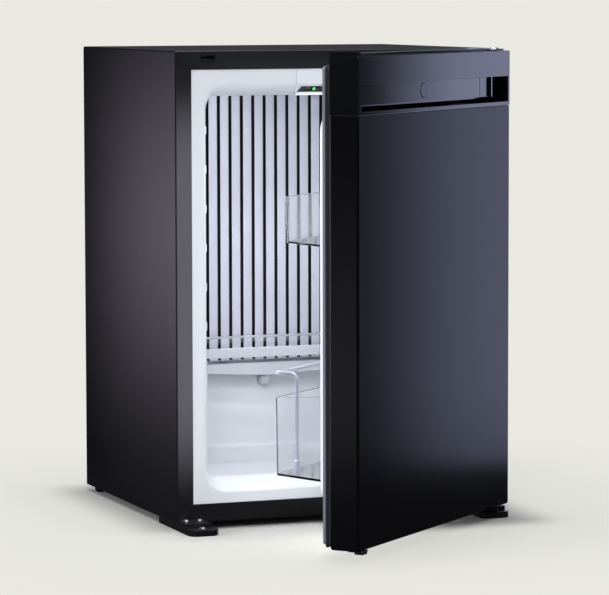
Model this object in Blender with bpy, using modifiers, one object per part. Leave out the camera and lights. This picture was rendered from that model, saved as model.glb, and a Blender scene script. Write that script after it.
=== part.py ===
"""Minibar fridge: a steel cabinet with a moulded liner, a hinged door and an absorption unit.

X runs along the front, +Y to the back and +Z up. Lengths are in metres, angles in degrees.
The design frame lies on the floor under the middle of the cabinet's front. The door is drawn
closed and hangs under an empty on its hinge axis, which holds it at the photographed angle.
The last step moves everything so that the standing object is centred on the origin.
"""

import math

import bmesh
import bpy
from mathutils import Matrix, Vector

# Clearance between pieces that touch.
FIT = 0.0003

# Cabinet.
CASE_WIDTH = 0.402
CASE_HEIGHT = 0.548
CASE_DEPTH = 0.355
FOOT_HEIGHT = 0.008
SHEET = 0.001
FOLD_RADIUS = 0.002
FRAME_SIDE = 0.0198
FRAME_TOP = 0.0218
FRAME_BOTTOM = 0.0222
REAR_FLANGE = 0.012
SEAM_WIDTH = 0.0005
REAR_RECESS = 0.063
BACK_SHEET = 0.0008

# Moulded liner.
LINER_WALL = 0.002
LINER_LAP = 0.006
MOUTH_SIDE = 0.0122
MOUTH_TOP = 0.0112
MOUTH_BOTTOM = 0.0108
MOUTH_RADIUS = 0.031
LIP_SIDE = 0.0073
LIP_TOP_HEIGHT = 0.020
LIP_TOP_DEPTH = 0.026
RAMP_ANGLE = 31.0
RAMP_RISE = 0.017
RAMP_FOOT_RADIUS = 0.005
RAMP_CREST_RADIUS = 0.006
WALL_CORNER_RADIUS = 0.015
BACK_INSULATION = 0.030
BACK_EDGE_RADIUS = 0.006
LIP_STEPS = 6

# Shelf ribs on the liner's side walls.
RIB_PITCH = 0.0458
RIB_FIRST_TOP = 0.1021
RIB_REACH = 0.0117
RIB_FACE = 0.0105
RIB_SLOPE = 0.0075
RIB_FRONT = 0.030
RIB_REAR_GAP = 0.024
SHELF_RIB = 2

# Ceiling module.
MODULE_HALF = 0.051
MODULE_BACK = 0.075
MODULE_TUCK = 0.004
PANEL_HALF = 0.0462
PANEL_BAND = 0.0074
BAND_HIGH_DEPTH = 0.0030
BAND_LOW_DEPTH = 0.0087
CREASE_RISE = 0.0042
CREASE_LOW_RISE = 0.0027
CREASE_DEPTH = 0.0008
PANEL_THICKNESS = 0.002
PANEL_END_SLANT = 0.004
LAMP_RADIUS = 0.0018
LAMP_OFFSET = -0.0275
DIFFUSER_HALF = 0.0485
DIFFUSER_HEIGHT = 0.003
LENS_DEPTH = 0.012

# Shelf.
GLASS_THICKNESS = 0.004
GLASS_FRONT = 0.1043
GLASS_REAR_GAP = 0.014
GLASS_SIDE_GAP = 0.0027
TRIM_DEPTH = 0.0083
TRIM_DROP = 0.0057
TRIM_LIP = 0.0008
TRIM_BITE = 0.003

# Evaporator and drip tray.
FIN_PLATE_HALF = 0.125
FIN_PLATE_BOTTOM = 0.168
FIN_PLATE_DEPTH = 0.0117
FIN_PITCH = 0.015
FIN_GROOVE = 0.004
FIN_GROOVE_DEPTH = 0.0065
TRAY_HALF = 0.130
TRAY_TOP = 0.165
TRAY_END_DROP = 0.009
TRAY_MIDDLE_DROP = 0.016
TRAY_DEPTH = 0.0235
TRAY_WALL = 0.0015
DRAIN_RADIUS = 0.006
DRAIN_BORE = 0.0035

# Hinge hardware.
HINGE_INSET = 0.0175
HINGE_OUT = 0.035
REST_ANGLE = 41.71
PIN_RADIUS = 0.004
BUSH_RADIUS = 0.006
BUSH_LENGTH = 0.0135
BUSH_FLANGE_RADIUS = 0.0085
HINGE_PLATE = 0.0018
HINGE_PLATE_END = 0.012
HINGE_TAB = 0.0025
SLOT_INSET = 0.0305
SLOT_WIDTH = 0.0204
SLOT_TOP = 0.0036
SLOT_HEIGHT = 0.0092
TAB_REACH = 0.018
RISER_FRONT = 0.006
PLUG_INSET = 0.034
PLUG_WIDTH = 0.013
PLUG_FRONT = 0.027
PLUG_DEPTH = 0.006

# Front feet.
FOOT_BLOCK_WIDTH = 0.0306
FOOT_BLOCK_REACH = 0.0323
FOOT_STEP_TOP = 0.0122
FOOT_BLOCK_EDGE = 0.0015
FOOT_BLOCK_DISH = 0.0016
FOOT_PLATE_WIDTH = 0.036
FOOT_PLATE_REACH = 0.0486
FOOT_PLATE_TOP = 0.0077
FOOT_PLATE_RADIUS = 0.010
FOOT_RAIL_WIDTH = 0.012
FOOT_RAIL_BACK = 0.069
PIN_BOSS_RADIUS = 0.007
PIN_SOCKET = 0.0085
PIN_LENGTH = 0.022
SCREW_HEAD_RADIUS = 0.0038
SCREW_HEAD_HEIGHT = 0.0016
SCREW_SHANK_RADIUS = 0.002
SCREW_LENGTH = 0.005
REAR_FOOT_WIDTH = 0.013
REAR_FOOT_LENGTH = 0.012
REAR_FOOT_INSET = 0.006
REAR_FOOT_SETBACK = 0.014

# Door.
DOOR_GAP = 0.0128
DOOR_THICKNESS = 0.0349
DOOR_EDGE_RADIUS = 0.003
BUSH_FLANGE = 0.0018
DOOR_RETURN = 0.012
HEAD_HEIGHT = 0.0644
HEAD_CLEARANCE = 0.0004
HEAD_STRIP_RISE = 0.0032
HEAD_STRIP_BEVEL = 0.0055
HEAD_CAP_RISE = 0.0052
HEAD_CAP_WIDTH = 0.008
HEAD_LOW_LENGTH = 0.064
WINDOW_LEFT = 0.009
WINDOW_RIGHT = 0.005
WINDOW_BOTTOM = 0.0046
WINDOW_HEIGHT = 0.0299
WINDOW_RECESS = 0.002
GRIP_SLOT = 0.007
GRIP_POCKET_DEPTH = 0.0195
GRIP_POCKET_LIP = 0.0049
GRIP_FOOT_RADIUS = 0.004
GRIP_CROWN_RADIUS = 0.006
GRIP_PANEL_THICKNESS = 0.0017
GRIP_OPENING = 0.0465
GRIP_FLAT_END = 0.0235
GRIP_BEND_LENGTH = 0.014
GRIP_BEND_DEPTH = 0.0034
GRIP_TRIM_WIDTH = 0.0016
LOCK_CAP_AT = 0.1657
LOCK_CAP_RADIUS = 0.0083
LOCK_CAP_RISE = 0.0004
SPARE_FLANGE_LENGTH = 0.0174
SPARE_FLANGE_WIDTH = 0.016
SPARE_NUB_LENGTH = 0.0102
SPARE_NUB_WIDTH = 0.0117
SPARE_NUB_DROP = 0.0025

# Door liner, bins and guard.
DAM_SIDE_GAP = 0.0057
DAM_WIDTH = 0.013
DAM_REACH = 0.0231
DAM_FOOT_SIDE = 0.006
DAM_TOP_GAP = 0.0165
DAM_RADIUS = 0.014
DAM_CROWN = 0.003
DAM_FOOT_LOW = 0.014
DAM_FOOT_HIGH = 0.0195
DAM_PANEL_SINK = 0.005
BIN_SIDE_GAP = 0.009
BIN_WALL = 0.0018
BIN_FLOOR = 0.002
BIN_NEAR = -0.005
BIN_CORNER = 0.010
LOWER_BIN_TOP = 0.1704
LOWER_BIN_HEIGHT = 0.0881
LOWER_BIN_REACH = 0.0912
UPPER_BIN_TOP = 0.3965
UPPER_BIN_HEIGHT = 0.0521
UPPER_BIN_REACH = 0.0774
BIN_FRONT_DRAFT = 0.0048
LOWER_BIN_SLOPE = 0.06
UPPER_BIN_SLOPE = 0.133
BIN_FLOOR_SLOPE = 0.07
BRACKET_REACH = 0.0165
BRACKET_HEIGHT = 0.008
BRACKET_FRONT = 0.020
GUARD_WIRE_RADIUS = 0.002
GUARD_LEG_AT = 0.0634
GUARD_RAIL_AT = 0.0845
GUARD_TOP = 0.1976
GUARD_BEND = 0.008
GUARD_SLEEVE_HEIGHT = 0.018
GUARD_SLEEVE_RADIUS = 0.0032

# Gasket.
GASKET_INSET = 0.004
GASKET_WIDTH = 0.017
GASKET_BASE = 0.0074
GASKET_BELLOWS = 0.0022
GASKET_BOTTOM_INSET = 0.0016
GASKET_TOP_INSET = 0.0095
GASKET_LIP_BOTTOM = 0.0028
GASKET_LIP_TOP = 0.0018
GASKET_LIP_HINGE = 0.011
GASKET_LIP_FREE = 0.004
GASKET_LIP_WIDTH = 0.012

# Absorption unit behind the back panel.
UNIT_TUBE_RADIUS = 0.007
UNIT_BEND = 0.018
BOILER_RADIUS = 0.028
BOILER_AT = -0.120
BOILER_BOTTOM = 0.085
BOILER_HEIGHT = 0.255
VESSEL_RADIUS = 0.024
VESSEL_LENGTH = 0.190
VESSEL_MIDDLE = 0.060
VESSEL_HEIGHT = 0.090
COIL_LEFT = -0.030
COIL_RIGHT = 0.150
COIL_PITCH = 0.040
COIL_PASSES = 5
CONDENSER_DROP = 0.076
CONDENSER_LEFT = -0.060
CONDENSER_RIGHT = 0.120
CONDENSER_FINS = 12
CONDENSER_FIN = 0.0008
CONDENSER_FIN_WIDTH = 0.046
FEED_TUBE_RADIUS = 0.005
FEED_INSET = 0.025
FEED_DROP = 0.060
RETURN_Z = 0.385
DRAIN_Z = 0.1405
DRAIN_LIP = 0.009
DRAIN_END = 0.017
UNIT_BRACKET = 0.0015
UNIT_BRACKET_HEIGHT = 0.018
PAN_FRONT = 0.027
PAN_BACK = 0.020
PAN_HEIGHT = 0.018
PAN_WALL = 0.0015
BOX_WIDTH = 0.090
BOX_HEIGHT = 0.046
BOX_DEPTH = 0.038
BOX_LEFT = 0.080
LEAD_RADIUS = 0.003
GLAND_RADIUS = 0.007
GLAND_LENGTH = 0.009

# Places worked out from the sizes above.
HALF = CASE_WIDTH / 2
CASE_BOTTOM = FOOT_HEIGHT
CASE_TOP = CASE_BOTTOM + CASE_HEIGHT
OPEN_HALF = HALF - FRAME_SIDE
OPEN_LOW = CASE_BOTTOM + FRAME_BOTTOM
OPEN_HIGH = CASE_TOP - FRAME_TOP
INSIDE_HALF = HALF - SHEET - FIT
INSIDE_LOW = CASE_BOTTOM + SHEET + FIT
INSIDE_HIGH = CASE_TOP - SHEET - FIT
LINER_FRONT = SHEET + FIT
BACK_PLANE = CASE_DEPTH - REAR_RECESS
CAVITY_DEPTH = BACK_PLANE - BACK_INSULATION
MOUTH_HALF = OPEN_HALF - MOUTH_SIDE
MOUTH_LOW = OPEN_LOW + MOUTH_BOTTOM
MOUTH_HIGH = OPEN_HIGH - MOUTH_TOP
WALL_HALF = MOUTH_HALF - LIP_SIDE
FLOOR = MOUTH_LOW + RAMP_RISE
CEILING = MOUTH_HIGH - LIP_TOP_HEIGHT
RIB_COUNT = 1 + int((CEILING - WALL_CORNER_RADIUS - RIB_FIRST_TOP) / RIB_PITCH)
RIB_BACK = CAVITY_DEPTH - RIB_REAR_GAP
SHELF_SEAT = RIB_FIRST_TOP + SHELF_RIB * RIB_PITCH
RIB_TIP = WALL_HALF - RIB_REACH
PLATE_FRONT = CAVITY_DEPTH - FIT - FIN_PLATE_DEPTH
GLASS_BACK = PLATE_FRONT - GLASS_REAR_GAP
HINGE_X = HALF - HINGE_INSET
HINGE_Y = -HINGE_OUT
DOOR_BACK = -DOOR_GAP
DOOR_FRONT = DOOR_BACK - DOOR_THICKNESS
DOOR_BOTTOM = FOOT_STEP_TOP + FIT + BUSH_FLANGE + FIT
HEAD_TOP = CASE_TOP - HINGE_PLATE - HEAD_CLEARANCE
HEAD_SEAM = HEAD_TOP - HEAD_HEIGHT
WINDOW_LOW = HEAD_SEAM + WINDOW_BOTTOM
WINDOW_HIGH = WINDOW_LOW + WINDOW_HEIGHT
GRIP_TRIM_AT = CASE_WIDTH - WINDOW_RIGHT - GRIP_OPENING
GRIP_BEND_END = GRIP_TRIM_AT - GRIP_FLAT_END
GRIP_BEND_START = GRIP_BEND_END - GRIP_BEND_LENGTH
GASKET_HALF = HALF - GASKET_INSET
GASKET_LOW = DOOR_BOTTOM + GASKET_BOTTOM_INSET
GASKET_HIGH = HEAD_TOP - GASKET_TOP_INSET
DOOR_LINER_HALF = HALF - DOOR_RETURN - FIT
DOOR_LINER_LOW = DOOR_BOTTOM + DOOR_RETURN + FIT
DOOR_LINER_HIGH = GASKET_HIGH - GASKET_INSET
UNIT_PLANE = BACK_PLANE + REAR_RECESS / 2
CONDENSER_HEIGHT = CASE_TOP - CONDENSER_DROP
FEED_X = FIN_PLATE_HALF - FEED_INSET
FEED_Z = CONDENSER_HEIGHT - FEED_DROP
LOWER_BIN_LOW = LOWER_BIN_TOP - LOWER_BIN_HEIGHT - BIN_FLOOR_SLOPE * (LOWER_BIN_REACH - BIN_FRONT_DRAFT - BIN_NEAR)
DAM_HALF = WALL_HALF - DAM_SIDE_GAP
DAM_INNER_HALF = DAM_HALF - DAM_WIDTH
DAM_BASE_HALF = DAM_HALF + DAM_FOOT_SIDE
DAM_TOP = CEILING - DAM_TOP_GAP
DAM_BOTTOM = LOWER_BIN_LOW - FIT - DAM_WIDTH
BIN_HALF = DAM_INNER_HALF - BIN_SIDE_GAP

CORNER_STEPS = 6
ROUND_SIDES = 20
SMOOTH_ANGLE = 35.0

PARTS = "minibar_fridge"
CUTTERS = "cutters"

TURN_TO = {
    "X": Matrix(((0, 0, 1, 0), (1, 0, 0, 0), (0, 1, 0, 0), (0, 0, 0, 1))),
    "Y": Matrix.Rotation(math.radians(90), 4, "X"),
    "Z": Matrix.Identity(4),
}
ALONG = {"X": Vector((1, 0, 0)), "Y": Vector((0, 1, 0)), "Z": Vector((0, 0, 1))}

# Finishes as (sRGB colour, roughness, metallic).
BLACK_PAINT = ("26262B", 0.45, 0.0)
DOOR_PAINT = ("1B1C20", 0.40, 0.0)
HEAD_PLASTIC = ("212227", 0.38, 0.0)
GLOSS_BLACK = ("0C0D10", 0.10, 0.0)
FOOT_PLASTIC = ("121214", 0.35, 0.0)
LINER_WHITE = ("DFE2E6", 0.40, 0.0)
LENS_WHITE = ("F4F6F8", 0.30, 0.0)
LAMP_GREEN = ("3DE03D", 0.25, 0.0)
FOAM_CREAM = ("E4DCBE", 0.95, 0.0)
GALVANISED = ("A9ADB0", 0.45, 1.0)
ALUMINIUM = ("E8E8F2", 0.35, 1.0)
UNIT_BLACK = ("1A1A1C", 0.60, 0.2)
STEEL = ("B9BBBE", 0.30, 1.0)
TRAY_GREY = ("C9CCD2", 0.40, 0.0)
GLASS_CLEAR = ("C8DAD4", 0.05, 0.0)
SMOKE_CLEAR = ("7D828A", 0.12, 0.0)
SEAL_GREY = ("6D6A7C", 0.60, 0.0)
TRIM_SILVER = ("B6B8BE", 0.25, 0.6)
BUSH_PLASTIC = ("2A2B2E", 0.50, 0.0)
BRACKET_GREY = ("8B8F96", 0.45, 0.0)


def linear(channel):
    """One sRGB channel, 0 to 1, as linear light."""
    return channel / 12.92 if channel <= 0.04045 else ((channel + 0.055) / 1.055) ** 2.4


def make_material(name, finish):
    """A Principled material of its own for one piece."""
    code, roughness, metallic = finish
    colour = [linear(int(code[i : i + 2], 16) / 255) for i in (0, 2, 4)]
    material = bpy.data.materials.new(f"{name}_finish")
    material.use_nodes = True
    shader = material.node_tree.nodes["Principled BSDF"]
    shader.inputs["Base Color"].default_value = (*colour, 1.0)
    shader.inputs["Roughness"].default_value = roughness
    shader.inputs["Metallic"].default_value = metallic
    material.diffuse_color = (*colour, 1.0)
    return material


def finished_mesh(bm):
    """A mesh with its faces turned outwards."""
    bmesh.ops.recalc_face_normals(bm, faces=bm.faces)
    mesh = bpy.data.meshes.new("piece")
    bm.to_mesh(mesh)
    bm.free()
    return mesh


def evaluated_mesh(data, modify=None, turn=None):
    """The closed mesh of a curve or of a profile with a modifier, in the design frame."""
    holder = bpy.data.objects.new("holder", data)
    bpy.context.scene.collection.objects.link(holder)
    holder.matrix_world = turn or Matrix.Identity(4)
    if modify:
        modify(holder)
    bpy.context.view_layer.update()
    graph = bpy.context.evaluated_depsgraph_get()
    mesh = bpy.data.meshes.new_from_object(holder.evaluated_get(graph))
    mesh.transform(holder.matrix_world)
    bpy.data.objects.remove(holder, do_unlink=True)
    bm = bmesh.new()
    bm.from_mesh(mesh)
    bmesh.ops.remove_doubles(bm, verts=bm.verts, dist=1e-6)
    return finished_mesh(bm)


def joined(meshes):
    """Several meshes as one, still separate bodies."""
    bm = bmesh.new()
    for mesh in meshes:
        bm.from_mesh(mesh)
    return finished_mesh(bm)


def box(x, y, z):
    """A box between two values on each axis."""
    low = Vector((x[0], y[0], z[0]))
    high = Vector((x[1], y[1], z[1]))
    bm = bmesh.new()
    place = Matrix.Translation((low + high) / 2) @ Matrix.Diagonal((*(high - low), 1))
    bmesh.ops.create_cube(bm, size=1.0, matrix=place)
    return finished_mesh(bm)


def rod(centre, radius, low, high, axis="Z", sides=ROUND_SIDES):
    """A cylinder between two values on its axis; centre gives the other two, in XYZ order."""
    middle = (low + high) / 2
    first, second = centre
    place = {"X": (middle, first, second), "Y": (first, middle, second), "Z": (first, second, middle)}
    bm = bmesh.new()
    bmesh.ops.create_cone(
        bm,
        cap_ends=True,
        segments=sides,
        radius1=radius,
        radius2=radius,
        depth=high - low,
        matrix=Matrix.Translation(place[axis]) @ TURN_TO[axis],
    )
    return finished_mesh(bm)


def prism(outline, low, high, axis):
    """A flat outline drawn out between two values on an axis.

    The outline is in XY for axis Z, in XZ for axis Y and in YZ for axis X.
    """
    curve = bpy.data.curves.new("outline", "CURVE")
    curve.dimensions = "2D"
    curve.fill_mode = "BOTH"
    curve.extrude = (high - low) / 2
    spline = curve.splines.new("POLY")
    spline.points.add(len(outline) - 1)
    spline.use_cyclic_u = True
    for target, point in zip(spline.points, outline):
        target.co = (point[0], point[1], 0, 1)
    middle = Matrix.Translation(ALONG[axis] * (low + high) / 2)
    mesh = evaluated_mesh(curve, turn=middle @ TURN_TO[axis])
    bm = bmesh.new()
    bm.from_mesh(mesh)
    bmesh.ops.dissolve_limit(bm, angle_limit=math.radians(0.1), verts=bm.verts, edges=bm.edges)
    return finished_mesh(bm)


def tube(path, radius, detail=2):
    """A round bar along a path, with closed ends."""
    curve = bpy.data.curves.new("path", "CURVE")
    curve.dimensions = "3D"
    curve.bevel_depth = radius
    curve.bevel_resolution = detail
    curve.use_fill_caps = True
    spline = curve.splines.new("POLY")
    spline.points.add(len(path) - 1)
    for target, point in zip(spline.points, path):
        target.co = (*point, 1)
    return evaluated_mesh(curve)


def rounded(path, radius, steps=4):
    """The same path with an arc at each inner corner."""
    points = [Vector(point) for point in path]
    result = [points[0]]
    for before, corner, after in zip(points, points[1:], points[2:]):
        back = (before - corner).normalized()
        ahead = (after - corner).normalized()
        half_turn = back.angle(ahead) / 2
        reach = radius / math.tan(half_turn)
        centre = corner + (back + ahead).normalized() * radius / math.sin(half_turn)
        start = (corner + back * reach - centre).normalized()
        end = (corner + ahead * reach - centre).normalized()
        for step in range(steps + 1):
            result.append(centre + start.slerp(end, step / steps) * radius)
    return result + [points[-1]]


def turned(profile, centre, sides=ROUND_SIDES):
    """A body of revolution about a vertical axis; the profile runs from its top down."""
    bm = bmesh.new()
    points = [bm.verts.new((radius, 0, height)) for radius, height in profile]
    for upper, lower in zip(points, points[1:]):
        bm.edges.new((upper, lower))
    mesh = bpy.data.meshes.new("profile")
    bm.to_mesh(mesh)
    bm.free()

    def revolve(holder):
        screw = holder.modifiers.new("revolve", "SCREW")
        screw.steps = sides
        screw.render_steps = sides
        screw.use_merge_vertices = True
        screw.merge_threshold = 1e-5

    return evaluated_mesh(mesh, revolve, Matrix.Translation((*centre, 0)))


def loft(rings, closed_rings=True, capped=False, looped=False):
    """Faces between sections of the same number of points, all wound one way."""
    bm = bmesh.new()
    rows = [[bm.verts.new(point) for point in ring] for ring in rings]
    pairs = list(zip(rows, rows[1:]))
    if looped:
        pairs.append((rows[-1], rows[0]))
    for near, far in pairs:
        count = len(near) if closed_rings else len(near) - 1
        for i in range(count):
            j = (i + 1) % len(near)
            bm.faces.new((near[i], near[j], far[j], far[i]))
    if capped:
        bm.faces.new(rows[-1])
        if capped == "both":
            bm.faces.new(reversed(rows[0]))
    if looped or capped == "both":
        return finished_mesh(bm)
    middle = sum((vert.co for vert in bm.verts), Vector()) / len(bm.verts)
    bm.normal_update()
    outward = sum(face.normal.dot(face.calc_center_median() - middle) * face.calc_area() for face in bm.faces)
    if outward < 0:
        bmesh.ops.reverse_faces(bm, faces=bm.faces)
    mesh = bpy.data.meshes.new("piece")
    bm.to_mesh(mesh)
    bm.free()
    return mesh


def grown(mesh, distance):
    """A closed mesh with every face moved outwards by the same distance."""
    bm = bmesh.new()
    bm.from_mesh(mesh)
    bm.normal_update()
    moves = [vert.normal * vert.calc_shell_factor() * distance for vert in bm.verts]
    for vert, move in zip(bm.verts, moves):
        vert.co += move
    return finished_mesh(bm)


class Body:
    """Pieces that move together, under one empty that stands on their joint's axis."""

    def __init__(self, name, parent=None, axis=(0, 0, 0), turn=0.0):
        self.axis = Vector(axis)
        self.empty = bpy.data.objects.new(name, None)
        bpy.data.collections[PARTS].objects.link(self.empty)
        self.empty.parent = parent
        self.empty.location = self.axis
        self.empty.rotation_euler.z = math.radians(turn)

    def place(self, name, mesh, collection):
        """An object with its origin in the middle of its mesh."""
        corners = [vert.co for vert in mesh.vertices]
        low = Vector([min(corner[i] for corner in corners) for i in range(3)])
        high = Vector([max(corner[i] for corner in corners) for i in range(3)])
        middle = (low + high) / 2
        mesh.transform(Matrix.Translation(-middle))
        obj = bpy.data.objects.new(name, mesh)
        bpy.data.collections[collection].objects.link(obj)
        obj.parent = self.empty
        obj.location = middle - self.axis
        return obj

    def add(self, name, mesh, finish):
        """A piece of the product."""
        obj = self.place(name, mesh, PARTS)
        obj.data.name = name
        obj.data.materials.append(make_material(name, finish))
        obj.data.shade_smooth()
        obj.data.set_sharp_from_angle(angle=math.radians(SMOOTH_ANGLE))
        return obj

    def combine(self, obj, mesh, operation, solver="EXACT"):
        """Joins a mesh to a piece, or cuts it out of the piece.

        The manifold solver is for outlines with edges in one line, where the exact one leaves slits.
        """
        tool = self.place(f"{obj.name}_tool", mesh, CUTTERS)
        tool.hide_render = True
        tool.display_type = "WIRE"
        boolean = obj.modifiers.new(operation.lower(), "BOOLEAN")
        boolean.operation = operation
        boolean.object = tool
        boolean.solver = solver

    def cut(self, obj, mesh, solver="EXACT"):
        self.combine(obj, mesh, "DIFFERENCE", solver)

    def fuse(self, obj, mesh):
        self.combine(obj, mesh, "UNION")


def bevelled(obj, width, segments=2, angle=30.0):
    """Rounds a piece's sharp edges."""
    bevel = obj.modifiers.new("edges", "BEVEL")
    bevel.width = width
    bevel.segments = segments
    bevel.limit_method = "ANGLE"
    bevel.angle_limit = math.radians(angle)
    return obj


def thickened(obj, wall, outwards=False):
    """Gives an open surface a wall, inside it or outside it."""
    solidify = obj.modifiers.new("wall", "SOLIDIFY")
    solidify.thickness = wall
    solidify.offset = 1.0 if outwards else -1.0
    solidify.use_even_offset = True
    solidify.use_quality_normals = True
    return obj


def corner_ring(half, low, high, radius, depth_side, depth_low, depth_high, left=None):
    """A rounded rectangle seen from the front, whose depth eases from side to end round a corner."""
    points = []
    left = half if left is None else left
    for quarter in range(4):
        middle_x = half - radius if quarter in (0, 3) else radius - left
        upper = quarter in (0, 1)
        middle_z = high - radius if upper else low + radius
        depth_end = depth_high if upper else depth_low
        for step in range(CORNER_STEPS + 1):
            angle = math.radians(90) * (quarter + step / CORNER_STEPS)
            ease = math.sin(angle) ** 2
            depth = depth_side * (1 - ease) + depth_end * ease
            across = middle_x + radius * math.cos(angle)
            points.append(Vector((across, depth, middle_z + radius * math.sin(angle))))
    return points


def flat_ring(half, low, high, radius, depth, left=None):
    """A rounded rectangle in one plane, seen from the front."""
    return corner_ring(half, low, high, radius, depth, depth, depth, left)


def plan_ring(half, near, far, radius, height_near, height_far):
    """A rounded rectangle seen from above, whose height changes evenly from near to far."""
    points = []
    for quarter in range(4):
        middle_x = half - radius if quarter in (0, 3) else radius - half
        middle_y = far - radius if quarter in (0, 1) else near + radius
        for step in range(CORNER_STEPS // 2 + 1):
            angle = math.radians(90) * (quarter + step / (CORNER_STEPS // 2))
            y = middle_y + radius * math.sin(angle)
            share = (y - near) / (far - near)
            height = height_near + (height_far - height_near) * share
            points.append(Vector((middle_x + radius * math.cos(angle), y, height)))
    return points


def mirrored_x(points):
    """The other half of an outline that is symmetrical about X = 0, in drawing order."""
    return points + [(-x, y) for x, y in reversed(points)]


def outer_case(cabinet):
    """Left side, top and right side of one folded sheet, with front and rear flanges."""

    def wrap(inset_side, inset_top, low, depth):
        side = HALF - inset_side
        high = CASE_TOP - inset_top
        return [(-side, depth, low), (-side, depth, high), (side, depth, high), (side, depth, low)]

    sheet = loft(
        [
            wrap(FRAME_SIDE, FRAME_TOP, OPEN_LOW, 0),
            wrap(0, 0, CASE_BOTTOM, 0),
            wrap(0, 0, CASE_BOTTOM, CASE_DEPTH),
            wrap(REAR_FLANGE, REAR_FLANGE, CASE_BOTTOM, CASE_DEPTH),
        ],
        closed_rings=False,
    )
    case = cabinet.add("outer_case", sheet, BLACK_PAINT)
    thickened(bevelled(case, FOLD_RADIUS), SHEET)
    for side in (-1, 1):
        slot = sorted(side * (HALF - SLOT_INSET - offset) for offset in (0, SLOT_WIDTH))
        slot_z = (CASE_TOP - SLOT_TOP - SLOT_HEIGHT, CASE_TOP - SLOT_TOP)
        cabinet.cut(case, box(slot, (-SHEET, 3 * SHEET), slot_z))
        plug = sorted(side * (HALF - PLUG_INSET - offset) for offset in (0, PLUG_WIDTH))
        plug_y = (PLUG_FRONT, PLUG_FRONT + PLUG_DEPTH)
        cabinet.cut(case, box(plug, plug_y, (CASE_TOP - 3 * SHEET, CASE_TOP + SHEET)))
        cabinet.cut(case, mitre_slit(side))
    return case


def mitre_slit(side):
    """The open seam from the front opening's top corner towards the case's corner."""
    corner = Vector((side * OPEN_HALF, OPEN_HIGH))
    outer = Vector((side * (HALF - FOLD_RADIUS), CASE_TOP - FOLD_RADIUS))
    along = (outer - corner).normalized()
    across = Vector((-along.y, along.x)) * SEAM_WIDTH / 2
    start = corner - along * SHEET
    end = outer - along * SHEET
    return prism([start + across, start - across, end - across, end + across], -SHEET, 2 * SHEET, "Y")


def base_pan(cabinet):
    """The bottom sheet with its front flange, whose ends follow the case's mitre, and a rear fold."""
    side = HALF - SHEET - FIT - SHEET
    mitre = Vector((HALF - OPEN_HALF, OPEN_LOW - CASE_BOTTOM))
    shift = FIT / mitre.normalized().x
    shoulder = CASE_BOTTOM + (HALF - side) * mitre.y / mitre.x - shift
    corner = OPEN_HALF - FIT
    corner_low = CASE_BOTTOM + (HALF - corner) * mitre.y / mitre.x - shift
    rear = CASE_DEPTH - SHEET - FIT

    def strip(depth, height, outer_height=None):
        outer = height if outer_height is None else outer_height
        return [(-side, depth, outer), (-corner, depth, height), (corner, depth, height), (side, depth, outer)]

    sheet = loft(
        [
            strip(0, corner_low, shoulder),
            strip(0, CASE_BOTTOM),
            strip(rear, CASE_BOTTOM),
            strip(rear, CASE_BOTTOM + REAR_FLANGE),
        ],
        closed_rings=False,
    )
    pan = cabinet.add("base_pan", sheet, BLACK_PAINT)
    thickened(bevelled(pan, FOLD_RADIUS), SHEET)


def back_panel(cabinet):
    """The sheet behind the insulation, with a fold on each side and holes for three tubes."""
    fold = BACK_PLANE + REAR_FLANGE

    def section(height):
        return [
            (-INSIDE_HALF, fold, height),
            (-INSIDE_HALF, BACK_PLANE, height),
            (INSIDE_HALF, BACK_PLANE, height),
            (INSIDE_HALF, fold, height),
        ]

    sheet = loft([section(INSIDE_LOW), section(INSIDE_HIGH - FOLD_RADIUS / 2)], closed_rings=False)
    panel = cabinet.add("back_panel", sheet, GALVANISED)
    bevelled(panel, FOLD_RADIUS)
    thickened(panel, BACK_SHEET, outwards=not faces_front(panel))
    for place, radius in wall_tubes():
        cabinet.cut(panel, rod(place, radius + FIT, BACK_PLANE - SHEET, BACK_PLANE + 2 * SHEET, "Y"))


def faces_front(obj):
    """Whether the largest face of an open sheet looks towards -Y."""
    largest = max(obj.data.polygons, key=lambda face: face.area)
    return largest.normal.y < 0


def wall_tubes():
    """((x, z), radius) of each tube that passes through the back wall."""
    return (
        ((FEED_X, FEED_Z), FEED_TUBE_RADIUS),
        ((COIL_LEFT, RETURN_Z), UNIT_TUBE_RADIUS),
        ((0, DRAIN_Z), DRAIN_RADIUS),
    )


def ramp_profile():
    """(rise, run) of the floor ramp, from the mouth's face to the flat floor."""
    slope = math.radians(RAMP_ANGLE)
    turn = math.radians(90) - slope
    foot = [
        (RAMP_FOOT_RADIUS * math.sin(turn * share), RAMP_FOOT_RADIUS * (1 - math.cos(turn * share)))
        for share in (0, 0.5, 1)
    ]
    crest_rise = RAMP_RISE - RAMP_CREST_RADIUS * (1 - math.cos(slope))
    crest_run = foot[-1][1] + (crest_rise - foot[-1][0]) / math.tan(slope)
    middle = ((foot[-1][0] + crest_rise) / 2, (foot[-1][1] + crest_run) / 2)
    end_run = crest_run + RAMP_CREST_RADIUS * math.sin(slope)
    crest = [
        (
            RAMP_RISE - RAMP_CREST_RADIUS * (1 - math.cos(slope * share)),
            end_run - RAMP_CREST_RADIUS * math.sin(slope * share),
        )
        for share in (1, 0.5, 0)
    ]
    return foot + [middle] + crest


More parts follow.
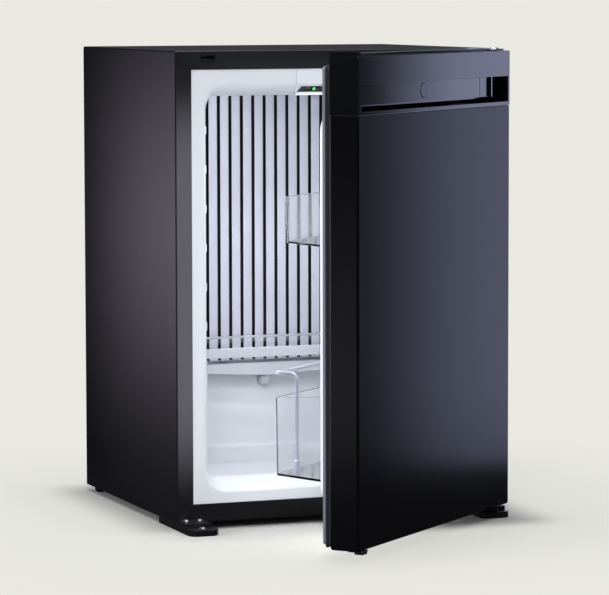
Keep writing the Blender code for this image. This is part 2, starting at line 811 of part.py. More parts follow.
def mouth_rings():
    """Sections from the liner's flat face round its lip, steeper at the sides than at the top."""
    rings = []
    for step, (rise, run) in enumerate(ramp_profile()):
        turn = math.radians(90) * step / LIP_STEPS
        inwards = math.sin(turn)
        backwards = 1 - math.cos(turn)
        rings.append(
            corner_ring(
                MOUTH_HALF - LIP_SIDE * inwards,
                MOUTH_LOW + rise,
                MOUTH_HIGH - LIP_TOP_HEIGHT * inwards,
                MOUTH_RADIUS + (WALL_CORNER_RADIUS - MOUTH_RADIUS) * step / LIP_STEPS,
                LINER_FRONT + LIP_SIDE * backwards,
                LINER_FRONT + run,
                LINER_FRONT + LIP_TOP_DEPTH * backwards,
            )
        )
    return rings


def cavity_rings():
    """Sections from the lip along the walls and round the edge of the back wall."""
    straight_end = CAVITY_DEPTH - BACK_EDGE_RADIUS
    rings = []
    for degrees in (0, 30, 60, 90):
        inset = BACK_EDGE_RADIUS * (1 - math.cos(math.radians(degrees)))
        depth = straight_end + BACK_EDGE_RADIUS * math.sin(math.radians(degrees))
        radius = WALL_CORNER_RADIUS - inset
        rings.append(flat_ring(WALL_HALF - inset, FLOOR + inset, CEILING - inset, radius, depth))
    return rings


def shelf_rib(side, top):
    """One rib: level above, upright at the tip and sloped back to the wall below."""
    root = WALL_HALF + LINER_WALL / 2
    low = top - RIB_FACE - RIB_SLOPE
    root_low = low - RIB_SLOPE / RIB_REACH * (root - WALL_HALF)
    blend = RIB_REACH * 0.3
    sections = []
    for depth, drawn_in in (
        (RIB_FRONT, blend),
        (RIB_FRONT + blend, 0),
        (RIB_BACK - blend, 0),
        (RIB_BACK, blend),
    ):
        tip = RIB_TIP + drawn_in
        profile = ((root, top), (tip, top), (tip, top - RIB_FACE), (root, root_low))
        sections.append([(side * x, depth, z) for x, z in profile])
    return loft(sections, capped="both")


def inner_liner(cabinet):
    """The moulded liner: flat face, rounded mouth with a floor ramp, ribbed walls and back."""
    lap = LINER_LAP
    edge = flat_ring(OPEN_HALF + lap, OPEN_LOW - lap, OPEN_HIGH + lap, 2 * lap, LINER_FRONT)
    surface = loft([edge] + mouth_rings() + cavity_rings(), capped="end")
    liner = thickened(cabinet.add("inner_liner", surface, LINER_WHITE), LINER_WALL, outwards=True)
    tops = [RIB_FIRST_TOP + RIB_PITCH * count for count in range(RIB_COUNT)]
    cabinet.fuse(liner, joined([shelf_rib(side, top) for side in (-1, 1) for top in tops]))
    notch = MODULE_HALF + FIT
    notch_top = OPEN_HIGH + lap + SHEET
    cabinet.cut(liner, box((-notch, notch), (0, MODULE_BACK + FIT), (CEILING - SHEET, notch_top)))
    for place, radius in wall_tubes():
        behind = CAVITY_DEPTH + 2 * LINER_WALL
        cabinet.cut(liner, rod(place, radius + FIT, CAVITY_DEPTH - SHEET, behind, "Y"))


def foam_insulation(cabinet):
    """The foam between the case and the liner, with room for everything that passes into it."""
    front = LINER_FRONT
    back = BACK_PLANE - FIT
    block = box((-INSIDE_HALF, INSIDE_HALF), (front, back), (INSIDE_LOW, INSIDE_HIGH))
    foam = bevelled(cabinet.add("foam_insulation", block, FOAM_CREAM), FOLD_RADIUS, 1)
    outer = mouth_rings()
    start = [Vector((point.x, front - 0.02, point.z)) for point in outer[0]]
    plug = loft([start] + outer + cavity_rings(), capped="both")
    cabinet.cut(foam, grown(plug, LINER_WALL + 2 * FIT))
    lap = OPEN_HALF + LINER_LAP + FIT
    lap_z = (OPEN_LOW - LINER_LAP - FIT, OPEN_HIGH + LINER_LAP + FIT)
    cabinet.cut(foam, box((-lap, lap), (0, front + LINER_WALL + FIT), lap_z))
    module = MODULE_HALF + FIT
    module_z = (CEILING - SHEET, OPEN_HIGH + MODULE_TUCK + FIT)
    cabinet.cut(foam, box((-module, module), (0, MODULE_BACK + FIT), module_z))
    for side in (-1, 1):
        slot = sorted(side * (HALF - SLOT_INSET + offset) for offset in (FIT, -SLOT_WIDTH - FIT))
        slot_z = (CASE_TOP - SLOT_TOP - SLOT_HEIGHT - FIT, CASE_TOP - SLOT_TOP + FIT)
        cabinet.cut(foam, box(slot, (0, TAB_REACH + SHEET), slot_z))
        plug = sorted(side * (HALF - PLUG_INSET + offset) for offset in (FIT, -PLUG_WIDTH - FIT))
        plug_y = (PLUG_FRONT - FIT, PLUG_FRONT + PLUG_DEPTH + FIT)
        cabinet.cut(foam, box(plug, plug_y, (CASE_TOP - PLUG_DEPTH - FIT, CASE_TOP)))
    for place, radius in wall_tubes():
        cabinet.cut(foam, rod(place, radius + FIT, CAVITY_DEPTH, back + SHEET, "Y"))


def module_profile():
    """The ceiling module's section in YZ: face, crease, sloped band, lens step, underside."""
    band_top = CEILING + DIFFUSER_HEIGHT + SHEET / 2 + PANEL_BAND
    return [
        (MODULE_BACK, OPEN_HIGH + MODULE_TUCK),
        (LINER_FRONT, OPEN_HIGH + MODULE_TUCK),
        (LINER_FRONT, band_top + CREASE_RISE),
        (LINER_FRONT + CREASE_DEPTH, band_top + CREASE_LOW_RISE),
        band_line()[0],
        band_line()[1],
        (band_line()[1][0], CEILING),
        (MODULE_BACK, CEILING),
    ]


def band_line():
    """Upper and lower end, in YZ, of the sloped band that holds the control panel."""
    lower = (LINER_FRONT + BAND_LOW_DEPTH, CEILING + DIFFUSER_HEIGHT + SHEET / 2)
    return ((LINER_FRONT + BAND_HIGH_DEPTH, lower[1] + PANEL_BAND), lower)


def band_frame():
    """The band's middle and its directions: down the band and out of it."""
    upper, lower = (Vector((0, *point)) for point in band_line())
    down = (lower - upper).normalized()
    return (upper + lower) / 2, down, Vector((0, down.z, -down.y))


def control_strip(grow, rise, sink):
    """The control panel's tapering plate, or the same grown for its seat."""
    middle, down, out = band_frame()
    length = (Vector(band_line()[0]) - Vector(band_line()[1])).length / 2 - 2 * FIT + grow
    rings = []
    for depth in (rise, -sink):
        ring = []
        for sign, half in ((-1, PANEL_HALF - PANEL_END_SLANT / 2), (1, PANEL_HALF + PANEL_END_SLANT / 2)):
            for across in (-sign, sign):
                along = Vector((across * (half + grow), 0, 0))
                ring.append(middle + down * length * sign + out * depth + along)
        rings.append(ring)
    return loft(rings, capped="both")


def ceiling_module(cabinet):
    """The housing in the mouth's top edge with its panel, lamp and lens."""
    module = cabinet.add(
        "ceiling_module", prism(module_profile(), -MODULE_HALF, MODULE_HALF, "X"), LINER_WHITE
    )
    cabinet.cut(module, control_strip(FIT, SHEET, PANEL_THICKNESS + FIT))
    lens_y = band_line()[1][0]
    lens_z = (CEILING, CEILING + DIFFUSER_HEIGHT)
    lens_room = (-DIFFUSER_HALF - FIT, DIFFUSER_HALF + FIT)
    cabinet.cut(module, box(lens_room, (lens_y - SHEET, lens_y + LENS_DEPTH), (lens_z[0] - SHEET, lens_z[1] + FIT)))
    panel = cabinet.add("control_panel", control_strip(0, 0, PANEL_THICKNESS), GLOSS_BLACK)
    middle, _, out = band_frame()
    place = Matrix.Translation(middle + Vector((LAMP_OFFSET, 0, 0)) - out * PANEL_THICKNESS / 2)
    turn = out.to_track_quat("Z", "Y").to_matrix().to_4x4()
    for radius, length in ((LAMP_RADIUS + FIT, 3 * PANEL_THICKNESS), (LAMP_RADIUS, PANEL_THICKNESS + FIT)):
        bm = bmesh.new()
        bmesh.ops.create_cone(
            bm, cap_ends=True, segments=12, radius1=radius, radius2=radius, depth=length, matrix=place @ turn
        )
        if radius > LAMP_RADIUS:
            cabinet.cut(panel, finished_mesh(bm))
        else:
            cabinet.add("status_lamp", finished_mesh(bm), LAMP_GREEN)
    lens = box((-DIFFUSER_HALF, DIFFUSER_HALF), (lens_y, lens_y + LENS_DEPTH - FIT), lens_z)
    bevelled(cabinet.add("light_diffuser", lens, LENS_WHITE), DIFFUSER_HEIGHT / 4)


def case_plugs(cabinet):
    """The recessed plug in the unused hinge slot and the two plugs in the top sheet."""
    slot = (-HALF + SLOT_INSET + FIT, -HALF + SLOT_INSET + SLOT_WIDTH - FIT)
    slot_z = (CASE_TOP - SLOT_TOP - SLOT_HEIGHT + FIT, CASE_TOP - SLOT_TOP - FIT)
    plug = cabinet.add("hinge_slot_plug", box(slot, (SHEET / 2, TAB_REACH), slot_z), BUSH_PLASTIC)
    wall = 2 * SHEET
    hollow = box((slot[0] + wall, slot[1] - wall), (-SHEET, TAB_REACH / 3), (slot_z[0] + wall, slot_z[1] - wall))
    cabinet.cut(plug, hollow)
    for side, name in ((-1, "top_plug_left"), (1, "top_plug_right")):
        across = sorted(side * (HALF - PLUG_INSET - offset) for offset in (FIT, PLUG_WIDTH - FIT))
        depth = (PLUG_FRONT + FIT, PLUG_FRONT + PLUG_DEPTH - FIT)
        body = box(across, depth, (CASE_TOP - PLUG_DEPTH, CASE_TOP))
        bevelled(cabinet.add(name, body, BUSH_PLASTIC), FIT, 1)


def arc(centre, radius, start, end, steps):
    """Points on an arc in a plane, angles in degrees."""
    turns = [math.radians(start + (end - start) * step / steps) for step in range(steps + 1)]
    return [(centre[0] + radius * math.cos(turn), centre[1] + radius * math.sin(turn)) for turn in turns]


def top_hinge(cabinet):
    """The stepped plate that leaves the right slot and carries the door's upper pin."""
    left = HALF - SLOT_INSET - SLOT_WIDTH + FIT
    right = HALF - SLOT_INSET - FIT
    tab_top = CASE_TOP - SLOT_TOP - FIT
    outline = [(left, -SHEET - FIT), (left, -RISER_FRONT)]
    outline += arc((HINGE_X, HINGE_Y), HINGE_PLATE_END, 200, 400, 12)
    outline += [(right, -RISER_FRONT), (right, -SHEET - FIT)]
    plate = prism(outline, CASE_TOP - HINGE_PLATE, CASE_TOP, "Z")
    bracket = cabinet.add("top_hinge_bracket", plate, STEEL)
    bevelled(bracket, FIT, 1)
    riser = box((left, right), (-RISER_FRONT, -RISER_FRONT / 2), (tab_top - HINGE_TAB, CASE_TOP - FIT))
    cabinet.fuse(bracket, riser)
    tab_x = (left + SHEET, right - SHEET)
    cabinet.fuse(bracket, box(tab_x, (-RISER_FRONT + SHEET, TAB_REACH), (tab_top - HINGE_TAB, tab_top)))
    cabinet.cut(bracket, rod((HINGE_X, HINGE_Y), PIN_RADIUS + FIT, CASE_TOP - 2 * HINGE_PLATE, CASE_TOP + HINGE_PLATE))
    pin_low = HEAD_TOP - BUSH_LENGTH + 3 * SHEET
    head = CASE_TOP + FIT
    profile = [
        (0, head + SHEET),
        (PIN_RADIUS + SHEET, head + SHEET),
        (PIN_RADIUS + 2 * SHEET, head),
        (PIN_RADIUS, head),
        (PIN_RADIUS, pin_low + SHEET / 2),
        (PIN_RADIUS - SHEET / 2, pin_low),
        (0, pin_low),
    ]
    cabinet.add("top_hinge_pin", turned(profile, (HINGE_X, HINGE_Y)), STEEL)


def front_foot(cabinet, side, name):
    """A moulded bracket: floor plate with a rail under the case, and a raised block before it."""
    inner = HALF - FOOT_PLATE_WIDTH
    front = -FOOT_PLATE_REACH
    radius = FOOT_PLATE_RADIUS
    outline = arc((HALF - radius, front + radius), radius, 0, -90, 6)
    outline += arc((inner + radius, front + radius), radius, -90, -180, 6)
    outline += [
        (inner, 0),
        (HALF - FOOT_RAIL_WIDTH, 0),
        (HALF - FOOT_RAIL_WIDTH, FOOT_RAIL_BACK),
        (HALF, FOOT_RAIL_BACK),
    ]
    plate = prism([(side * x, y) for x, y in outline], 0, FOOT_PLATE_TOP, "Z")
    foot = bevelled(cabinet.add(name, plate, FOOT_PLASTIC), SHEET)
    block_front = -FOOT_BLOCK_REACH
    edge = FOOT_BLOCK_EDGE
    block_left = HALF - FOOT_BLOCK_WIDTH
    block_outline = [(HALF, -FIT), (HALF, block_front + edge), (HALF - edge, block_front)]
    for step in range(1, 6):
        share = step / 6
        across = HALF - edge - (FOOT_BLOCK_WIDTH - 2 * edge) * share
        block_outline.append((across, block_front + FOOT_BLOCK_DISH * math.sin(math.pi * share)))
    block_outline += [(block_left + edge, block_front), (block_left, block_front + edge), (block_left, -FIT)]
    block = [(side * x, y) for x, y in block_outline]
    cabinet.fuse(foot, prism(block, FOOT_PLATE_TOP / 2, FOOT_STEP_TOP, "Z"))
    if side > 0:
        boss = rod((HINGE_X, HINGE_Y), PIN_BOSS_RADIUS, FOOT_PLATE_TOP / 2, FOOT_STEP_TOP)
        cabinet.fuse(foot, boss)
        socket_low = FOOT_STEP_TOP - PIN_SOCKET
        socket = rod((HINGE_X, HINGE_Y), PIN_RADIUS + FIT, socket_low, FOOT_STEP_TOP + SHEET)
        cabinet.cut(foot, socket)
        pin_low = socket_low + FIT
        pin_high = pin_low + PIN_LENGTH
        profile = [
            (0, pin_high),
            (PIN_RADIUS - SHEET, pin_high),
            (PIN_RADIUS, pin_high - SHEET),
            (PIN_RADIUS, pin_low),
            (0, pin_low),
        ]
        cabinet.add("bottom_hinge_pin", turned(profile, (HINGE_X, HINGE_Y)), STEEL)
    for count, (across, y, seat) in enumerate(foot_screws(side)):
        hole = rod((side * across, y), SCREW_SHANK_RADIUS + FIT, seat - SCREW_LENGTH - FIT, seat + SHEET, sides=12)
        cabinet.cut(foot, hole)
        cabinet.add(f"{name}_screw_{count + 1}", pan_head_screw(side * across, y, seat + FIT), STEEL)


def foot_screws(side):
    """(distance from the middle, depth, seat height) of a foot's screws; the pin takes one place."""
    screws = [(HALF - 0.0083, -0.0062, FOOT_STEP_TOP), (HALF - 0.0250, -0.0062, FOOT_STEP_TOP)]
    if side < 0:
        screws.append((HINGE_X, -0.0385, FOOT_PLATE_TOP))
    return screws


def pan_head_screw(x, y, seat):
    """A pan-head screw that stands on its seat."""
    top = seat + SCREW_HEAD_HEIGHT
    profile = [
        (0, top),
        (SCREW_HEAD_RADIUS * 0.6, top - SCREW_HEAD_HEIGHT * 0.1),
        (SCREW_HEAD_RADIUS * 0.92, top - SCREW_HEAD_HEIGHT * 0.4),
        (SCREW_HEAD_RADIUS, seat),
        (SCREW_SHANK_RADIUS, seat),
        (SCREW_SHANK_RADIUS, seat - SCREW_LENGTH),
        (0, seat - SCREW_LENGTH),
    ]
    return turned(profile, (x, y), 16)


def rear_foot(cabinet, side, name):
    """A small tapered foot under a rear corner."""
    outer = HALF - REAR_FOOT_INSET
    back = CASE_DEPTH - REAR_FOOT_SETBACK
    rings = []
    for height, inset in ((0, 0.001), (CASE_BOTTOM - FIT, 0)):
        inner = outer - REAR_FOOT_WIDTH + inset
        front = back - REAR_FOOT_LENGTH + inset
        corners = ((inner, front), (outer - inset, front), (outer - inset, back - inset), (inner, back - inset))
        rings.append([(side * x, y, height) for x, y in corners])
    bevelled(cabinet.add(name, loft(rings, capped="both"), FOOT_PLASTIC), SHEET)


def evaporator(cabinet):
    """The grooved plate on the liner's back wall."""
    back = PLATE_FRONT + FIN_PLATE_DEPTH
    count = int((FIN_PLATE_HALF - FIN_GROOVE) / FIN_PITCH)
    outline = [(-FIN_PLATE_HALF, back), (-FIN_PLATE_HALF, PLATE_FRONT)]
    for number in range(-count, count + 1):
        left = number * FIN_PITCH - FIN_GROOVE / 2
        right = left + FIN_GROOVE
        deep = PLATE_FRONT + FIN_GROOVE_DEPTH
        outline += [(left, PLATE_FRONT), (left, deep), (right, deep), (right, PLATE_FRONT)]
    outline += [(FIN_PLATE_HALF, PLATE_FRONT), (FIN_PLATE_HALF, back)]
    top = CEILING - BACK_EDGE_RADIUS - 2 * FIT
    plate = prism(outline, FIN_PLATE_BOTTOM, top, "Z")
    cabinet.add("evaporator_fins", plate, ALUMINIUM)


def drip_tray(cabinet):
    """The shallow trough under the evaporator, lowest in the middle, and its drain tube."""
    back = CAVITY_DEPTH - FIT
    front = back - TRAY_DEPTH

    def section(half, rise, top):
        return [
            (-half, top),
            (-half, TRAY_TOP - TRAY_END_DROP + rise),
            (0, TRAY_TOP - TRAY_MIDDLE_DROP + rise),
            (half, TRAY_TOP - TRAY_END_DROP + rise),
            (half, top),
        ]

    body = prism(section(TRAY_HALF, 0, TRAY_TOP), front, back, "Y")
    tray = cabinet.add("drip_tray", body, TRAY_GREY)
    wall = TRAY_WALL
    hollow = prism(section(TRAY_HALF - wall, wall, TRAY_TOP + wall), front + wall, back - wall, "Y")
    cabinet.cut(tray, hollow)
    drain_y = (front + back) / 2
    cabinet.cut(tray, rod((0, drain_y), DRAIN_BORE, TRAY_TOP - 2 * TRAY_MIDDLE_DROP, TRAY_TOP, sides=12))
    route = [
        (0, drain_y, TRAY_TOP - TRAY_MIDDLE_DROP - FIT),
        (0, drain_y, DRAIN_Z),
        (0, UNIT_PLANE - DRAIN_END, DRAIN_Z),
        (0, UNIT_PLANE - DRAIN_END, DRAIN_Z - DRAIN_LIP),
    ]
    cabinet.add("drain_tube", tube(rounded(route, DRAIN_RADIUS + SHEET), DRAIN_RADIUS), LINER_WHITE)


def shelf(cabinet):
    """The glass on one pair of ribs, with a stepped trim clipped on its front and back edges."""
    half = WALL_HALF - GLASS_SIDE_GAP
    glass_z = (SHELF_SEAT + FIT, SHELF_SEAT + FIT + GLASS_THICKNESS)
    glass = box((-half, half), (GLASS_FRONT, GLASS_BACK), glass_z)
    bevelled(cabinet.add("shelf_glass", glass, GLASS_CLEAR), FIT, 1)
    inner = RIB_TIP - 3 * FIT
    top = glass_z[1] + FIT + TRIM_LIP
    outline = [
        (inner, SHELF_SEAT - TRIM_DROP),
        (inner, glass_z[0]),
        (half, glass_z[0]),
        (half, top),
    ]
    for name, edge, sense in (("shelf_front_trim", GLASS_FRONT, 1), ("shelf_rear_trim", GLASS_BACK, -1)):
        outside = edge - sense * (TRIM_DEPTH - TRIM_BITE)
        inside = edge + sense * TRIM_BITE
        body = prism(mirrored_x(outline), min(outside, inside), max(outside, inside), "Y")
        trim = bevelled(cabinet.add(name, body, TRAY_GREY), SHEET / 2, 1)
        groove_y = sorted((edge - sense * FIT, inside + sense * SHEET))
        groove_z = (glass_z[0] - FIT, glass_z[1] + FIT)
        cabinet.cut(trim, box((-half - SHEET, half + SHEET), groove_y, groove_z), "MANIFOLD")


def rear_unit(cabinet):
    """The absorption unit in the recess behind the back panel."""
    y = UNIT_PLANE
    boiler_top = BOILER_BOTTOM + BOILER_HEIGHT
    edge = BOILER_RADIUS / 5
    jacket = [
        (0, boiler_top),
        (BOILER_RADIUS - edge, boiler_top),
        (BOILER_RADIUS, boiler_top - edge),
        (BOILER_RADIUS, BOILER_BOTTOM + edge),
        (BOILER_RADIUS - edge, BOILER_BOTTOM),
        (0, BOILER_BOTTOM),
    ]
    cabinet.add("boiler_jacket", turned(jacket, (BOILER_AT, y)), GALVANISED)

    half_length = VESSEL_LENGTH / 2
    dome = VESSEL_RADIUS / 2
    ends = [(dome * math.sin(turn), VESSEL_RADIUS * math.cos(turn)) for turn in (math.radians(60), math.radians(30), 0)]
    side = [(0, half_length)]
    side += [(radius, half_length - dome + rise) for rise, radius in ends]
    side += [(radius, -height) for radius, height in reversed(side[1:])] + [(0, -half_length)]
    vessel = turned(side, (0, 0))
    vessel.transform(Matrix.Translation((VESSEL_MIDDLE, y, VESSEL_HEIGHT)) @ TURN_TO["X"])
    cabinet.add("absorber_vessel", vessel, UNIT_BLACK)

    vessel_top = VESSEL_HEIGHT + VESSEL_RADIUS
    riser_x = VESSEL_MIDDLE + half_length - 2 * dome
    coil = [(riser_x, y, vessel_top + FIT)]
    height = vessel_top + PAN_HEIGHT + UNIT_TUBE_RADIUS + 5 * FIT
    ends_x = (COIL_LEFT, COIL_RIGHT)
    for number in range(COIL_PASSES):
        coil.append((coil[-1][0], y, height))
        coil.append((ends_x[number % 2], y, height))
        height += COIL_PITCH
    plate_back = PLATE_FRONT + FIN_PLATE_DEPTH + FIT
    coil += [(COIL_LEFT, y, RETURN_Z), (COIL_LEFT, plate_back, RETURN_Z)]
    cabinet.add("absorber_coil", tube(rounded(coil, UNIT_BEND, 3), UNIT_TUBE_RADIUS, 1), UNIT_BLACK)

    vapour = [
        (BOILER_AT, y, boiler_top + FIT),
        (BOILER_AT, y, CONDENSER_HEIGHT),
        (CONDENSER_RIGHT, y, CONDENSER_HEIGHT),
    ]
    condenser = cabinet.add("condenser", tube(rounded(vapour, UNIT_BEND), UNIT_TUBE_RADIUS), UNIT_BLACK)
    gap = (CONDENSER_RIGHT - CONDENSER_LEFT) / CONDENSER_FINS
    half = CONDENSER_FIN_WIDTH / 2
    fins = []
    for number in range(CONDENSER_FINS):
        x = CONDENSER_LEFT + gap / 2 + gap * number
        span = (x - CONDENSER_FIN / 2, x + CONDENSER_FIN / 2)
        fins.append(box(span, (y - half, y + half), (CONDENSER_HEIGHT - half, CONDENSER_HEIGHT + half)))
    cabinet.fuse(condenser, joined(fins))

    turn_x = CONDENSER_RIGHT + 2 * UNIT_BEND
    feed = [
        (CONDENSER_RIGHT + FIT, y, CONDENSER_HEIGHT),
        (turn_x, y, CONDENSER_HEIGHT),
        (turn_x, y, FEED_Z),
        (FEED_X, y, FEED_Z),
        (FEED_X, plate_back, FEED_Z),
    ]
    cabinet.add("evaporator_tube", tube(rounded(feed, UNIT_BEND, 3), FEED_TUBE_RADIUS), ALUMINIUM)

    low = BOILER_BOTTOM - UNIT_BEND - UNIT_TUBE_RADIUS
    side_x = (BOILER_AT + BOILER_RADIUS + VESSEL_MIDDLE - half_length) / 2
    exchange = [
        (VESSEL_MIDDLE - half_length - FIT, y, VESSEL_HEIGHT),
        (side_x, y, VESSEL_HEIGHT),
        (side_x, y, low),
        (BOILER_AT, y, low),
        (BOILER_AT, y, BOILER_BOTTOM - FIT),
    ]
    bend = min((VESSEL_HEIGHT - low) / 2, UNIT_BEND) - FIT
    cabinet.add("heat_exchanger_tube", tube(rounded(exchange, bend, 3), UNIT_TUBE_RADIUS), UNIT_BLACK)

    panel_back = BACK_PLANE + BACK_SHEET + FIT
    tube_front = y - UNIT_TUBE_RADIUS - FIT
    first = vessel_top + PAN_HEIGHT + 5 * FIT
    last = height - COIL_PITCH + UNIT_BRACKET_HEIGHT
    bracket = hat_section(first, last, panel_back, tube_front)
    for name, x in (("unit_bracket_left", COIL_LEFT + 1.5 * COIL_PITCH), ("unit_bracket_right", COIL_RIGHT - COIL_PITCH)):
        reach = UNIT_BRACKET_HEIGHT / 2
        cabinet.add(name, prism(bracket, x - reach, x + reach, "X"), GALVANISED)

    pan_x = (-2 * DRAIN_RADIUS - PAN_WALL, riser_x - UNIT_BEND - FIT)
    pan_y = (y - PAN_FRONT, y + PAN_BACK)
    pan_low = vessel_top + FIT
    pan = cabinet.add("evaporation_pan", box(pan_x, pan_y, (pan_low, pan_low + PAN_HEIGHT)), UNIT_BLACK)
    hollow_x = (pan_x[0] + PAN_WALL, pan_x[1] - PAN_WALL)
    hollow_y = (pan_y[0] + PAN_WALL, pan_y[1] - PAN_WALL)
    cabinet.cut(pan, box(hollow_x, hollow_y, (pan_low + PAN_WALL, pan_low + 2 * PAN_HEIGHT)))
    electrics(cabinet)


def hat_section(low, high, foot, crown):
    """A strip's edge in YZ: two feet on the panel and a crown that stands off it."""
    wall = UNIT_BRACKET
    tab = UNIT_BRACKET_HEIGHT / 2
    return [
        (foot, low),
        (foot + wall, low),
        (foot + wall, low + tab),
        (crown, low + tab),
        (crown, high - tab),
        (foot + wall, high - tab),
        (foot + wall, high),
        (foot, high),
        (foot, high - tab - wall),
        (crown - wall, high - tab - wall),
        (crown - wall, low + tab + wall),
        (foot, low + tab + wall),
    ]


def electrics(cabinet):
    """The electronics box on the base pan, its mains gland and the lead to the boiler."""
    low = CASE_BOTTOM + SHEET + FIT
    box_y = (UNIT_PLANE - BOX_DEPTH / 2, UNIT_PLANE + BOX_DEPTH / 2)
    body = box((BOX_LEFT, BOX_LEFT + BOX_WIDTH), box_y, (low, low + BOX_HEIGHT))
    bevelled(cabinet.add("electronics_box", body, UNIT_BLACK), 2 * SHEET)
    middle_z = low + BOX_HEIGHT / 2
    gland = turned(
        [
            (0, GLAND_LENGTH),
            (GLAND_RADIUS * 0.6, GLAND_LENGTH),
            (GLAND_RADIUS * 0.75, GLAND_LENGTH * 0.4),
            (GLAND_RADIUS, GLAND_LENGTH * 0.4),
            (GLAND_RADIUS, 0),
            (0, 0),
        ],
        (0, 0),
        16,
    )
    gland.transform(
        Matrix.Translation((BOX_LEFT + BOX_WIDTH * 0.6, box_y[1] + FIT, middle_z))
        @ Matrix.Rotation(math.radians(-90), 4, "X")
    )
    cabinet.add("mains_gland", gland, FOOT_PLASTIC)
    lead_y = UNIT_PLANE - BOILER_RADIUS / 2
    lead_x = BOILER_AT + BOILER_RADIUS + 2.5 * UNIT_TUBE_RADIUS
    flat = math.sqrt(BOILER_RADIUS**2 - (BOILER_RADIUS / 2) ** 2)
    reach = BOILER_AT + flat + LEAD_RADIUS
    high = BOILER_BOTTOM + BOILER_RADIUS
    route = [
        (BOX_LEFT - FIT, lead_y, middle_z),
        (lead_x, lead_y, middle_z),
        (lead_x, lead_y, high),
        (reach, lead_y, high),
    ]
    cabinet.add("heater_lead", tube(rounded(route, 3 * LEAD_RADIUS), LEAD_RADIUS), FOOT_PLASTIC)


def door_panel(door):
    """The door's painted skin: front, sides and bottom, with returns round the back."""

    def frame(inset, depth, top):
        side = HALF - inset
        low = DOOR_BOTTOM + inset
        return [(-side, depth, top), (-side, depth, low), (side, depth, low), (side, depth, top)]

    top = HEAD_SEAM - FIT
    front = [Vector(point) for point in frame(0, DOOR_FRONT, top)]
    surface = loft(
        [frame(DOOR_RETURN, DOOR_BACK, top), frame(0, DOOR_BACK, top), frame(0, DOOR_FRONT, top)],
        closed_rings=False,
    )
    bm = bmesh.new()
    bm.from_mesh(surface)
    rim = [min(bm.verts, key=lambda vert, target=point: (vert.co - target).length) for point in front]
    bm.faces.new(rim)
    bmesh.ops.recalc_face_normals(bm, faces=bm.faces)
    bm.normal_update()
    face = max(bm.faces, key=lambda item: item.calc_area())
    if face.normal.y > 0:
        bmesh.ops.reverse_faces(bm, faces=bm.faces)
    mesh = bpy.data.meshes.new("piece")
    bm.to_mesh(mesh)
    bm.free()
    panel = door.add("door_panel", mesh, DOOR_PAINT)
    thickened(bevelled(panel, DOOR_EDGE_RADIUS, 3), SHEET)
    hole = rod((HINGE_X, HINGE_Y), BUSH_RADIUS + FIT, DOOR_BOTTOM - SHEET, DOOR_BOTTOM + 3 * SHEET)
    door.cut(panel, hole)
    spare = rod((-HINGE_X, HINGE_Y), BUSH_RADIUS + FIT, DOOR_BOTTOM - SHEET, DOOR_BOTTOM + 3 * SHEET)
    door.cut(panel, spare)


def door_foam(door):
    """The foam in the door, which also fills the liner's raised dams."""
    inner = SHEET + FIT
    side = HALF - inner
    back = DOOR_BACK - LINER_WALL - FIT
    slab = box((-side, side), (DOOR_FRONT + inner, back), (DOOR_BOTTOM + inner, HEAD_SEAM - 2 * FIT))
    foam = door.add("door_foam", slab, FOAM_CREAM)
    bevelled(foam, DOOR_EDGE_RADIUS, 1)
    door.fuse(foam, loft(dam_core_rings(back), capped="both"))
    for x in (-HINGE_X, HINGE_X):
        room = rod((x, HINGE_Y), BUSH_RADIUS + 2 * FIT, DOOR_BOTTOM, DOOR_BOTTOM + BUSH_LENGTH + SHEET)
        door.cut(foam, room)


def dam_rings():
    """Sections of the door liner from the foot of its raised dams, over them and down to the panel."""
    reach = DAM_REACH - DOOR_BACK
    crown = DAM_CROWN
    low_foot = DAM_BOTTOM - DAM_FOOT_LOW
    high_foot = DAM_TOP + DAM_FOOT_HIGH
    rings = []
    for share in (0, 0.45, 0.88):
        half = DAM_BASE_HALF + (DAM_HALF - DAM_BASE_HALF) * share
        low = low_foot + DAM_FOOT_LOW * share
        high = high_foot - DAM_FOOT_HIGH * share**2
        rings.append(flat_ring(half, low, high, DAM_RADIUS, DOOR_BACK + reach * share))
    slim = DAM_HALF - crown
    low = DAM_BOTTOM + crown
    high = DAM_TOP - crown
    rings.append(flat_ring(slim, low, high, DAM_RADIUS, DAM_REACH))
    inner = DAM_INNER_HALF
    width = slim - inner
    inner_low = low + width
    inner_high = high - width
    inner_radius = DAM_RADIUS - width / 2
    panel = DOOR_BACK + DAM_PANEL_SINK
    rings += [
        flat_ring(inner + crown / 2, inner_low - crown / 2, inner_high + crown / 2, inner_radius, DAM_REACH),
        flat_ring(inner, inner_low, inner_high, inner_radius, DAM_REACH - crown / 2),
        flat_ring(inner, inner_low, inner_high, inner_radius, panel),
    ]
    return rings


def dam_core_rings(back):
    """Sections of the foam inside the dams, inside the liner's wall, from within the slab."""
    gap = LINER_WALL + 2 * FIT
    low_foot = DAM_BOTTOM - DAM_FOOT_LOW + gap
    high_foot = DAM_TOP + DAM_FOOT_HIGH - gap
    half = DAM_HALF - DAM_CROWN - gap
    low = DAM_BOTTOM + DAM_CROWN + gap
    high = DAM_TOP - DAM_CROWN - gap
    inner = DAM_INNER_HALF + gap
    width = half - inner
    crown = DAM_REACH - gap
    panel = DOOR_BACK + DAM_PANEL_SINK - gap
    radius = DAM_RADIUS - gap
    return [
        flat_ring(DAM_BASE_HALF - gap, low_foot, high_foot, radius, back - gap),
        flat_ring(DAM_BASE_HALF - gap, low_foot, high_foot, radius, DOOR_BACK),
        flat_ring(half, low, high, radius, crown),
        flat_ring(inner, low + width, high - width, radius - width, crown),
        flat_ring(inner, low + width, high - width, radius - width, panel),
    ]


